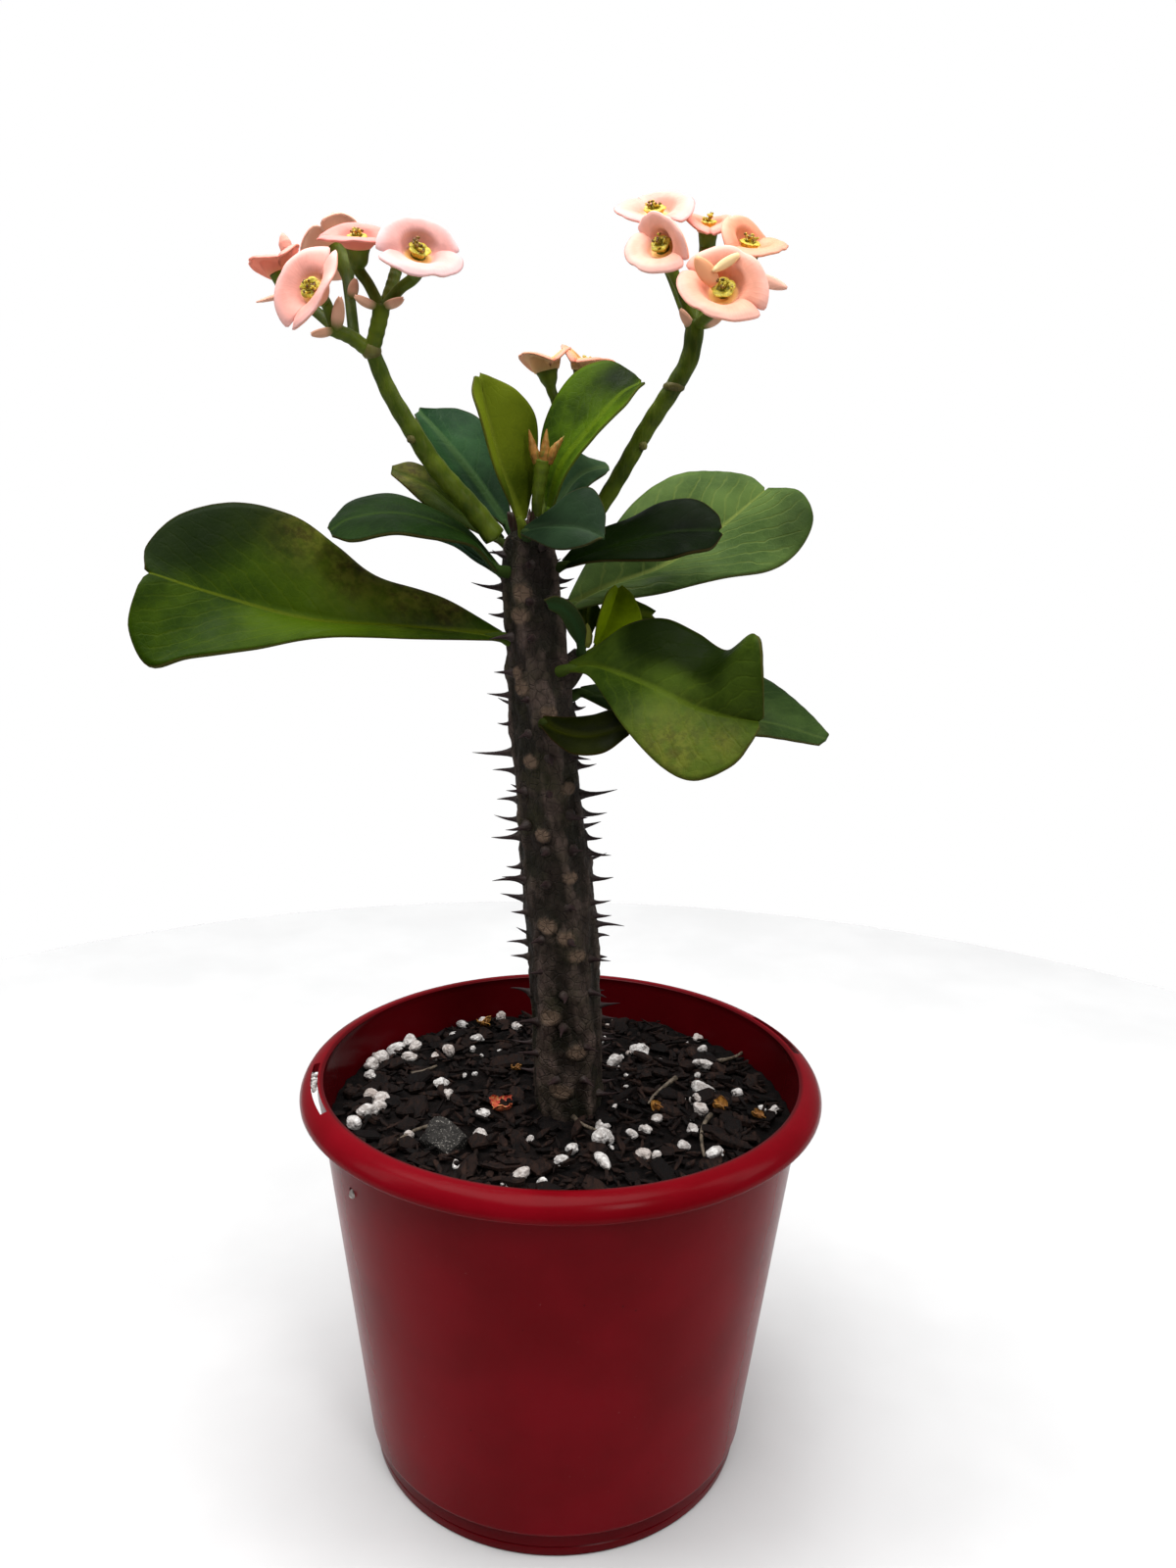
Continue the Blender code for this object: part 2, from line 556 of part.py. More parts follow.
def soil_place(draw):
    """A place on the soil, clear of the stem and of the pot's wall."""
    radius = math.sqrt(draw.uniform(17**2, 54**2))
    angle = draw.uniform(0, 2 * math.pi)
    return radius * math.cos(angle), radius * math.sin(angle)


def chip(name, place, size, draw):
    """A flat flake of bark, tipped a little."""
    bm = bmesh.new()
    bmesh.ops.create_cube(bm, size=1)
    for vert in bm.verts:
        vert.co += Vector([draw.uniform(-0.12, 0.12) for _ in range(3)])
    bmesh.ops.triangulate(bm, faces=bm.faces)
    tip = Matrix.Rotation(draw.uniform(-0.35, 0.35), 4, "X") @ Matrix.Rotation(draw.uniform(-0.3, 0.3), 4, "Y")
    spin = Matrix.Rotation(draw.uniform(0, math.pi), 4, "Z")
    scale = Matrix.Diagonal([side * MM for side in size] + [1])
    bm.transform(Matrix.Translation(Vector(place) * MM) @ spin @ tip @ scale)
    return loose_object(name, bm)


def grain(name, place, radius, draw):
    bm = bmesh.new()
    bmesh.ops.create_icosphere(bm, subdivisions=1, radius=radius * MM)
    bm.transform(Matrix.Rotation(draw.uniform(0, 6), 4, "Y") @ Matrix.Rotation(draw.uniform(0, 6), 4, "Z"))
    bm.transform(Matrix.Translation(Vector(place) * MM) @ Matrix.Diagonal((1, draw.uniform(0.75, 1), 0.85, 1)))
    return loose_object(name, bm)


def stem_axis(height):
    """Sideways place of the stem's axis and its radius at a height."""
    heights, places, diameters = zip(*STEM_AXIS)
    return np.interp(height, heights, places), np.interp(height, heights, diameters) / 2


def stem():
    """The fleshy stem: knobs along a spiral, each with a pair of spines, and a short side shoot."""
    knobs = [
        (height, math.radians(NODE_TURN * index) % (2 * math.pi))
        for index, height in enumerate(np.arange(103, 247, NODE_STEP))
    ]
    heights = [62, 80, 95, *np.arange(99, 249, STEM_ROW), 250.5, 253, 254.5]
    bm = bmesh.new()
    rings = []
    for height in heights:
        place, radius = stem_axis(height)
        ring = []
        for side in range(STEM_SIDES):
            angle = 2 * math.pi * side / STEM_SIDES
            swell = 0.97
            if 97 < height < 250:
                swell += sum(knob_bump(height, angle, radius, *knob) for knob in knobs)
            out = radius * swell
            ring.append(bm.verts.new(((place + out * math.cos(angle)) * MM, out * math.sin(angle) * MM,
                                      height * MM)))
        rings.append(ring)
    grid = [
        [bm.faces.new((lower[s], lower[(s + 1) % STEM_SIDES], upper[(s + 1) % STEM_SIDES], upper[s]))
         for s in range(STEM_SIDES)]
        for lower, upper in zip(rings, rings[1:])
    ]
    bm.faces.new(rings[0][::-1])
    bm.faces.new(rings[-1])
    draw = random.Random(5)
    taken = set()

    def spine(height, angle, length, rise):
        row = int(np.searchsorted(heights, height)) - 1
        side = int(angle / (2 * math.pi) * STEM_SIDES) % STEM_SIDES
        if (row, side) in taken:
            return
        taken.add((row, side))
        face = grid[row][side]
        place, radius = stem_axis(height)
        outwards = Vector((math.cos(angle), math.sin(angle), 0))
        bmesh.ops.inset_individual(bm, faces=[face], thickness=0.75 * MM)
        poked = bmesh.ops.poke(bm, faces=[face])
        tip = poked["verts"][0]
        tip.co = (Vector((place, 0, height + rise * length)) + outwards * (radius + length)) * MM

    for height, reach in LEFT_SPINES:
        spine(height, math.pi + draw.uniform(-0.2, 0.2), reach - stem_axis(height)[1], draw.uniform(-0.1, 0.15))
    for height, reach in RIGHT_SPINES:
        angle = (2 * math.pi + draw.uniform(-0.2, 0.2)) % (2 * math.pi)
        spine(height, angle, reach - stem_axis(height)[1], draw.uniform(-0.1, 0.15))
    for height, angle in knobs:
        for side in (-1, 1):
            turned_to = (angle + side * math.radians(SPINE_SPREAD)) % (2 * math.pi)
            shoot_side = 205 < height < 232 and math.cos(turned_to) > 0.3
            edge_on = abs(math.sin(turned_to)) < 0.35 and 135 < height
            if not (shoot_side or edge_on or height > 240):
                spine(height, turned_to, SPINE_LENGTH * draw.uniform(0.6, 1.1), draw.uniform(-0.1, 0.3))
    bmesh.ops.triangulate(bm, faces=bm.faces)
    trunk = loose_object("trunk", bm)
    shoot = tube("shoot", SHOOT_LINE, SHOOT_RADII, resolution=3)
    finish(fused("stem", [trunk, shoot]), BARK_GREY, 0.8)


def knob_bump(height, angle, radius, knob_height, knob_angle):
    """Share of the radius that one knob adds at a place on the stem."""
    across = (angle - knob_angle + math.pi) % (2 * math.pi) - math.pi
    spread = (across * radius / 2.6) ** 2 + ((height - knob_height) / 3.0) ** 2
    return 0.075 * math.exp(-spread)


def blade(name, rib, edge_a, edge_b, bulge):
    """A thin closed leaf: three lines from base to tip, and two faces split alike between them."""
    length = sum(math.dist(p, q) for p, q in zip(rib, rib[1:]))
    rows = max(5, round(length / BLADE_ROW))
    middle, side_a, side_b = (spline(line, rows + 1) for line in (rib, edge_a, edge_b))
    across = side_a - side_b
    ahead = np.gradient(middle, axis=0)
    lift = np.cross(across, ahead)
    lift /= np.linalg.norm(lift, axis=1)[:, None] + 1e-9
    swell = bulge * np.sin(np.linspace(0, math.pi, rows + 1))[:, None]
    between_a = (middle + side_a) / 2 + lift * swell
    between_b = (middle + side_b) / 2 + lift * swell
    sheet = np.stack([side_a, between_a, middle, between_b, side_b], axis=1)
    thickness = np.array([EDGE_THICKNESS, 1.0, RIB_THICKNESS, 1.0, EDGE_THICKNESS])[None, :, None]
    along = np.gradient(sheet, axis=0)
    sideways = np.gradient(sheet, axis=1)
    normal = np.cross(sideways, along)
    normal /= np.linalg.norm(normal, axis=2)[:, :, None] + 1e-9
    bm = bmesh.new()
    upper = verts_of(bm, sheet - normal * thickness / 2)
    lower = verts_of(bm, sheet + normal * thickness / 2)
    close_sheet(bm, upper, lower)
    obj = loose_object(name, bm)
    return finish(obj, LEAF_COLOURS.get(name, LEAF_GREEN), 0.5)


def verts_of(bm, grid):
    return [[bm.verts.new(point * MM) for point in row] for row in grid]


def close_sheet(bm, upper, lower):
    """Joins two grids of vertices into one closed thin body, with the same diagonals on both."""
    rows, columns = len(upper), len(upper[0])
    for i in range(rows - 1):
        for j in range(columns - 1):
            corners = ((i, j), (i + 1, j), (i + 1, j + 1), (i, j + 1))
            for picked in ((0, 1, 2), (0, 2, 3)):
                bm.faces.new([upper[corners[k][0]][corners[k][1]] for k in picked])
                bm.faces.new([lower[corners[k][0]][corners[k][1]] for k in reversed(picked)])
    rim = [(i, 0) for i in range(rows)] + [(rows - 1, j) for j in range(1, columns)]
    rim += [(i, columns - 1) for i in range(rows - 2, -1, -1)] + [(0, j) for j in range(columns - 2, 0, -1)]
    for (i, j), (k, m) in zip(rim, rim[1:] + rim[:1]):
        bm.faces.new((upper[i][j], lower[i][j], lower[k][m]))
        bm.faces.new((upper[i][j], lower[k][m], upper[k][m]))


def stalks():
    """Each flower stalk with its branches, the green funnels under its blooms and its small scales."""
    for name, branches in STALKS.items():
        pieces = []
        for index, (points, start, end) in enumerate(branches):
            count = max(4, 2 * len(points) - 1)
            pieces.append(tube(f"{name}_{index}", spline(points, count), np.linspace(start, end, count)))
        for bloom, (stalk, root, centre, facing, _, size, _) in BLOOMS.items():
            if stalk == name:
                pieces.append(funnel(bloom, Vector(root), Vector(centre), Vector(facing).normalized(), size))
        for index, (root, tip) in enumerate(BRACTEOLES.get(name, ())):
            middle = (Vector(root) + Vector(tip)) / 2 - Vector((0, 0, 0.5))
            pieces.append(tube(f"{name}_scale_{index}", (root, middle, tip), (0.8, 1.2, 0.7), 0))
        finish(fused(name, pieces), STALK_GREEN, 0.5)


def funnel(bloom, root, centre, facing, size):
    """A bloom's own branch, which swells into the green funnel under it."""
    share = min(1, size / 9)
    wide = FUNNEL_RADIUS * share
    top = centre - facing * (BRACT_THICKNESS / 2 + GAP)
    low = top - facing * FUNNEL_LENGTH * share
    bend = root.lerp(low, 0.55) + Vector((0, 0, 0.6))
    points = spline((root, bend, low, top - facing * FUNNEL_LENGTH * share * 0.5, top), 6)
    return tube(f"{bloom}_funnel", points, (1.3, 1.25, 1.25, 1.4 * share, 0.78 * wide, wide))


def bloom_frame(facing, toward):
    """Axes of a bloom: the first bract's direction, the crease between the bracts, and the facing."""
    facing = Vector(facing).normalized()
    first = Vector(toward)
    first = (first - facing * first.dot(facing)).normalized()
    return first, facing.cross(first), facing


def bract_point(angle, share, size, lifts):
    """A place on the pair of bracts: an angle round the bloom and a share of the way to the edge."""
    first = abs(angle) <= 90
    local = angle if first else (180 - abs(angle)) * (1 if angle > 0 else -1)
    throat = 0.33 * size
    if abs(local) >= 90:
        edge = throat * 1.3
    else:
        edge = size * (0.9 + 0.12 * math.sin(math.radians(abs(local))) ** 2 - 0.04 * (abs(local) < 5))
    reach = throat * share if share <= 1 else throat + (edge - throat) * (share - 1)
    out = max(0.0, (reach - throat) / (size - throat))
    rise = BRACT_CUP * size / 9 * (1 - math.exp(-out * 4)) - 0.9 * out**3
    x = reach * math.cos(math.radians(angle))
    y = reach * math.sin(math.radians(angle))
    lift = math.radians(lifts[0] if first else lifts[1]) * min(1, out * 3)
    away = abs(x)
    x_new = max(away * math.cos(lift) - rise * math.sin(lift), CREASE_SPREAD * away)
    z_new = away * math.sin(lift) + rise * math.cos(lift)
    return math.copysign(x_new, x), y, z_new


def bloom(name, stalk, centre, facing, toward, size, lifts):
    """Two kidney-shaped bracts joined round a shallow throat, as one thin closed body."""
    axes = bloom_frame(facing, toward)
    angles = [*BRACT_ANGLES, *(180 + angle for angle in BRACT_ANGLES)]
    shares = (1, 1.3, 1.65, 2)
    sheet = np.zeros((len(shares), len(angles), 3))
    for i, share in enumerate(shares):
        for j, angle in enumerate(angles):
            turned_angle = (angle + 180) % 360 - 180
            local = bract_point(turned_angle, share, size, lifts)
            sheet[i, j] = Vector(centre) + sum((axis * part for axis, part in zip(axes, local)), Vector())
    outwards = np.gradient(sheet, axis=0)
    around = np.roll(sheet, -1, axis=1) - np.roll(sheet, 1, axis=1)
    normal = np.cross(outwards, around)
    normal /= np.linalg.norm(normal, axis=2)[:, :, None] + 1e-9
    bm = bmesh.new()
    half = BRACT_THICKNESS / 2
    top = sheet + np.array(axes[2]) * half
    upper = verts_of(bm, top)
    lower = verts_of(bm, top - normal * BRACT_THICKNESS)
    columns = len(angles)
    for side, order in ((upper, 1), (lower, -1)):
        sign = half if order == 1 else -half
        hub = bm.verts.new((Vector(centre) + axes[2] * sign) * MM)
        for j in range(columns):
            k = (j + 1) % columns
            bm.faces.new((hub, side[0][j], side[0][k])[::order])
            for i in range(len(shares) - 1):
                bm.faces.new((side[i][j], side[i + 1][j], side[i + 1][k])[::order])
                bm.faces.new((side[i][j], side[i + 1][k], side[i][k])[::order])
    for j in range(columns):
        k = (j + 1) % columns
        bm.faces.new((upper[-1][j], lower[-1][j], lower[-1][k]))
        bm.faces.new((upper[-1][j], lower[-1][k], upper[-1][k]))
    colour = BRACT_PEACH if stalk == "stalk_middle" else BRACT_PINK
    finish(loose_object(name, bm), colour, 0.5)


def bloom_centre(name, centre, facing, toward, size):
    """The cup in a bloom's throat, with five blunt glands and a few short stamens."""
    axes = bloom_frame(facing, toward)
    turn = Matrix([[axis[row] for axis in axes] for row in range(3)]).to_4x4()
    wide = CENTRE_WIDTH * size
    base = BRACT_THICKNESS / 2 + GAP
    bm = bmesh.new()
    levels = ((0.7, base), (1.0, base + 1.3), (0.5, base + 1.7))
    rings = []
    for share, height in levels:
        rings.append([])
        for side in range(CENTRE_SIDES):
            angle = 2 * math.pi * side / CENTRE_SIDES
            lobe = 1 + 0.12 * math.cos(5 * angle)
            out = wide * share * lobe
            rings[-1].append(bm.verts.new((out * math.cos(angle), out * math.sin(angle), height)))
    for lower, upper in zip(rings, rings[1:]):
        for side in range(CENTRE_SIDES):
            following = (side + 1) % CENTRE_SIDES
            bm.faces.new((lower[side], lower[following], upper[following], upper[side]))
    bm.faces.new(rings[0][::-1])
    top = bm.verts.new((0, 0, base + 2.0))
    for side in range(CENTRE_SIDES):
        following = (side + 1) % CENTRE_SIDES
        face = bm.faces.new((rings[-1][side], rings[-1][following], top))
        if side % 2 == 0:
            spike = bmesh.ops.poke(bm, faces=[face])["verts"][0]
            spike.co.z += 1.3
    bm.transform(Matrix.Translation(Vector(centre) * MM) @ turn @ Matrix.Scale(MM, 4))
    finish(loose_object(name, bm), CENTRE_YELLOW, 0.6)


def closed_bloom(name, root, tip, radius, colour):
    """A bud that hasn't opened: a pointed egg."""
    root, tip = Vector(root), Vector(tip)
    shares = ((0, 0.45), (0.2, 0.9), (0.5, 1), (0.8, 0.6), (1, 0.15))
    points = [root.lerp(tip, share) for share, _ in shares]
    finish(tube(name, points, [radius * wide for _, wide in shares], 2), colour, 0.5)


def main():
    clear_scene()
    pot()
    soil()
    stem()
    for name, outline in LEAVES.items():
        blade(name, *outline)
    stalks()
    for name, (stalk, _, centre, facing, toward, size, lifts) in BLOOMS.items():
        bloom(name, stalk, centre, facing, toward, size, lifts)
        bloom_centre(f"{name}_centre", centre, facing, toward, size)
    for name, (root, tip, radius) in CLOSED_BLOOMS.items():
        closed_bloom(name, root, tip, radius, BRACT_PINK)
    closed_bloom("shoot_bud", *SHOOT_BUD, LEAF_YOUNG)


main()
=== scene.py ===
"""Looks of the crown of thorns plant in its red nursery pot.

Places and lengths are in millimetres in the CAD frame, and MM turns them into metres. Pixels are those
of the 1200 x 1600 photograph.
"""

import math
import random

import bmesh
import bpy
import numpy as np
from mathutils import Matrix, Vector, noise


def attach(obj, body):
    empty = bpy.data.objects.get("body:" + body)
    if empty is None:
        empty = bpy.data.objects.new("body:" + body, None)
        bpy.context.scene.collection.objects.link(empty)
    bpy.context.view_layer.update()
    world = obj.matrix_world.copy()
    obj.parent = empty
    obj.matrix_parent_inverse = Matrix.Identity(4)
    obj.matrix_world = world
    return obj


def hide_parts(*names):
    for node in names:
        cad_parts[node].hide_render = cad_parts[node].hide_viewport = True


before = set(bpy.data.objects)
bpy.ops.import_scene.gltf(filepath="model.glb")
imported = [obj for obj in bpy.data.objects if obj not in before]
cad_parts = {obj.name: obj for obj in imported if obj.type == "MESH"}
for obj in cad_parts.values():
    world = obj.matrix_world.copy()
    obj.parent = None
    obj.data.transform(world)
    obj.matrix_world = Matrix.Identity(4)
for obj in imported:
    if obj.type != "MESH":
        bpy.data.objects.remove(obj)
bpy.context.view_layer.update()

MM = 0.001

# Camera fitted to the photograph
PHOTO = (1200, 1600)
FOCAL_PX = 1250
CAMERA_PLACE = (5.43, -309.83, 256.66)
CAMERA_PITCH = math.radians(12.506)
CAMERA_ROLL = -0.021064
SENSOR = 36

# Studio
FLOOR_RADIUS = 480
FLOOR_SIDES = 96
# Lamps, in metres: place, target, width and height, and power in watts
LAMPS = {
    "top": ((-0.15, -0.1, 1.4), (0, 0, 0.2), (1.5, 1.3), 40),
    "left": ((-1.1, -0.25, 0.7), (0, 0, 0.15), (0.35, 0.9), 3.5),
    "right": ((1.0, -0.1, 0.75), (0, 0, 0.15), (0.4, 0.9), 4.0),
    "window": ((0.45, -0.83, 0.85), (0, 0, 0.12), (0.25, 0.35), 3.6),
}

# Pot
RIM_RADIUS = 70.0
POT_HEIGHT = 110.0
WALL = 1.3
BASE_RADIUS = 52.0
NECK_RADIUS = 64.8
FOOT_HEIGHT = 7.0
FLOOR_THICKNESS = 2.2
LIP_DROP = 5.6
LEDGE = 0.7  # how far the wall stands out over the foot band
WALL_SLOPE = (NECK_RADIUS - BASE_RADIUS - LEDGE) / (POT_HEIGHT - LIP_DROP - FOOT_HEIGHT)
BASE_RECESS = 0.7
POT_SIDES = 224
# Foot band from inside to outside: past the base's radius, height
FOOT_PROFILE = (
    (-4.2, BASE_RECESS), (-3.6, 0.1), (-1.6, 0), (-0.95, 0.35), (-0.75, 1.0), (-0.6, 2.8), (-0.85, 3.05),
    (-0.55, 3.35), (-0.3, 6.3), (-0.2, FOOT_HEIGHT), (0.35, FOOT_HEIGHT + 0.2),
)
# Lip from the wall's outside, round its edge and over its top: past the rim's radius, depth below the top
LIP_PROFILE = (
    (-4.6, 2.65), (-3.4, 2.7), (-2.4, 3.3), (-1.75, 4.2), (-1.3, 5.25), (-1.1, LIP_DROP), (-0.3, LIP_DROP),
    (-0.05, LIP_DROP - 0.3), (0, 4.6), (-0.15, 3.8), (-0.5, 2.9), (-1.1, 1.9), (-1.9, 1.05), (-2.9, 0.45),
    (-3.9, 0.1), (-4.7, 0), (-5.6, 0.05), (-6.15, 0.35),
)
# Heights of the rows of points on the wall's outside, and on its inside from the top down
WALL_HEIGHTS = (7.8, 8.4, 12, 25, 40, 55, 70, 85, 100, 103, 106.4)
INNER_HEIGHTS = (109.0, 107.5, 104, 100, 90, 75, 55, 30, 10, 5)
SLOT_RADII = (65.3, 67.0)
SLOT_ANGLES = ((-177, -152), (8, 31))
SIDE_HOLE_RADIUS = 1.4
SIDE_HOLE_ANGLES = (-142.6, 37.4)
SIDE_HOLE_HEIGHT = 92.5
DRAIN_HOLES = 8
DRAIN_RADIUS = 3.5
DRAIN_CIRCLE = 43.0

# Soil, and what lies on it: pixel, and radius or length in millimetres
SOIL_LEVEL = 97.5
STEM_PLACE = (2.0, 0.0)
GRAINS = (
    (390, 1053, 2.3), (373, 1077, 2.6), (368, 1085, 2.4), (388, 1081, 2.0), (402, 1070, 2.1),
    (423, 1069, 2.0), (418, 1080, 2.2), (458, 1073, 2.0), (378, 1097, 1.7), (450, 1106, 1.8),
    (457, 1117, 1.9), (380, 1120, 2.1), (390, 1123, 2.2), (386, 1128, 1.8), (375, 1135, 2.3),
    (362, 1147, 2.0), (417, 1159, 1.4), (490, 1158, 1.7), (492, 1137, 2.0), (585, 1173, 1.8),
    (573, 1186, 2.1), (531, 1200, 2.1), (615, 1150, 2.2), (617, 1163, 2.4), (645, 1157, 1.5),
    (658, 1152, 1.4), (615, 1185, 1.9), (657, 1177, 1.7), (670, 1142, 1.7), (652, 1073, 2.6),
    (627, 1083, 1.9), (717, 1072, 1.8), (718, 1087, 2.3), (717, 1113, 2.4), (710, 1123, 2.2),
    (715, 1132, 2.2), (752, 1115, 1.7), (707, 1153, 1.6), (698, 1169, 1.5), (730, 1178, 2.2),
    (790, 1133, 1.6), (670, 1178, 1.3), (778, 1131, 1.2), (528, 1048, 1.8), (468, 1042, 1.5),
    (488, 1059, 1.6), (510, 1036, 1.7), (490, 1037, 1.3), (463, 1057, 1.7), (510, 1075, 1.4),
    (613, 1061, 1.4), (715, 1058, 1.5), (553, 1206, 1.4), (444, 1078, 1.3),
)
STONE = (455, 1166)
RED_PETAL = (512, 1131)
DRY_PETALS = ((495, 1046, 5.0), (527, 1091, 3.2), (672, 1133, 3.6), (735, 1131, 4.0), (775, 1141, 4.2))
RED_PETAL_LEAVES = ((0.4, 0.9, 5.2), (2.3, 0.75, 4.6), (4.4, 0.8, 4.8))
TWIGS = (
    ((690, 1102), (660, 1128)), ((725, 1140), (716, 1182)), ((452, 1148), (400, 1168)),
    ((730, 1086), (765, 1072)), ((585, 1142), (612, 1158)), ((420, 1098), (446, 1090)),
)
# Chips and the shreds between them: how many, ranges of length, width, thickness and height over the soil,
# most tilt in radians, and share of the bend
CHIPS = (150, (5, 12.5), (3, 7), (0.8, 2.0), (-0.5, 0.5), 0.3, 0.5)
SHREDS = (1500, (1.8, 7.5), (0.5, 2.2), (0.3, 0.9), (-0.3, 0.9), 0.45, 0.3)
EXTRA_GRAINS = 45
# Grains caught in the left slot of the lip, by angle in degrees and radius, and the one in the side hole
SLOT_GRAINS = ((-170, 0.75), (-168.4, 0.8), (-166.6, 0.8), (-165, 0.7), (-172.2, 0.7))
HOLE_GRAIN_RADIUS = 1.15
# Rows of points on the soil's surface, and the radius of its hole under the stem
SOIL_SIDES = 200
SOIL_RINGS = 70
SOIL_INNER = 8.2

# Stem: height, sideways place of the axis, diameter
STEM_AXIS = (
    (62, 2, 17.0),
    (97, 2, 18.8),
    (120, 1, 18.6),
    (149, -1, 19.2),
    (170, -3, 18.0),
    (186, -5, 16.8),
    (203, -6, 17.1),
    (223, -8, 15.4),
    (240, -10, 14.2),
    (250, -10, 12.2),
    (253, -10, 8.0),
    (254.5, -10, 3.5),
)
STEM_SIDES = 112
STEM_ROW = 0.75
# Knobs with pairs of spines, up a spiral: step in height, and in degrees round the stem. The two spines
# of a pair stand this many degrees to each side of their knob.
NODE_STEP = 3.0
NODE_TURN = 137.5
SPINE_SPREAD = 24
SPINE_LENGTH = 6.5
CROWN_SPINES = 12
# A spine's radius at each share of its length
SPINE_STEPS = np.array([0, 0.1, 0.2, 0.32, 0.48, 0.68, 0.86, 1.0])
SPINE_RADII = np.array([1.75, 1.3, 0.92, 0.66, 0.47, 0.31, 0.17, 0.05])
CROWN_SCALES = 18
# The side shoot's axis, and its radius at each of these points
SHOOT_LINE = ((-6, -1, 212), (-1, -2, 216.5), (3.2, -2, 221.5))
SHOOT_RADII = (4.4, 3.9, 2.6)
# Spines seen against the light at each side: height, and reach from the stem's axis
LEFT_SPINES = (
    (246, 11), (238, 15), (235, 9), (231, 12), (211, 14), (204, 12), (196, 19), (191, 14), (183, 14),
    (178, 15), (174, 16), (166, 13), (162, 17), (156, 16), (144, 15), (141, 14),
)
RIGHT_SPINES = (
    (240, 11), (208, 11), (193, 13), (185, 18), (180, 15), (174, 13), (170, 15), (163, 15), (153, 14),
    (150, 17), (146, 13), (141, 12), (123, 14), (118, 13),
)
# Leaf scars on the side seen: sideways place, height, half width, half height
SCARS = (
    (-11.6, 237, 2.3, 2.2), (-12.3, 231.5, 2.5, 2.0), (-12.8, 217, 1.6, 1.7), (-11.6, 213.5, 2.2, 2.2),
    (-4.7, 207.5, 2.2, 1.9), (-4.5, 152, 2.6, 2.1), (0.6, 149, 2.2, 2.0), (3.5, 144, 2.4, 1.8),
    (-9.2, 195, 2.1, 1.9), (0.5, 188, 2.3, 1.7), (-6, 176, 2.0, 1.8), (1.5, 165, 2.1, 1.6),
    (-3, 127, 2.6, 2.2), (4, 117, 2.6, 2.0), (0, 106, 3.0, 2.2),
)

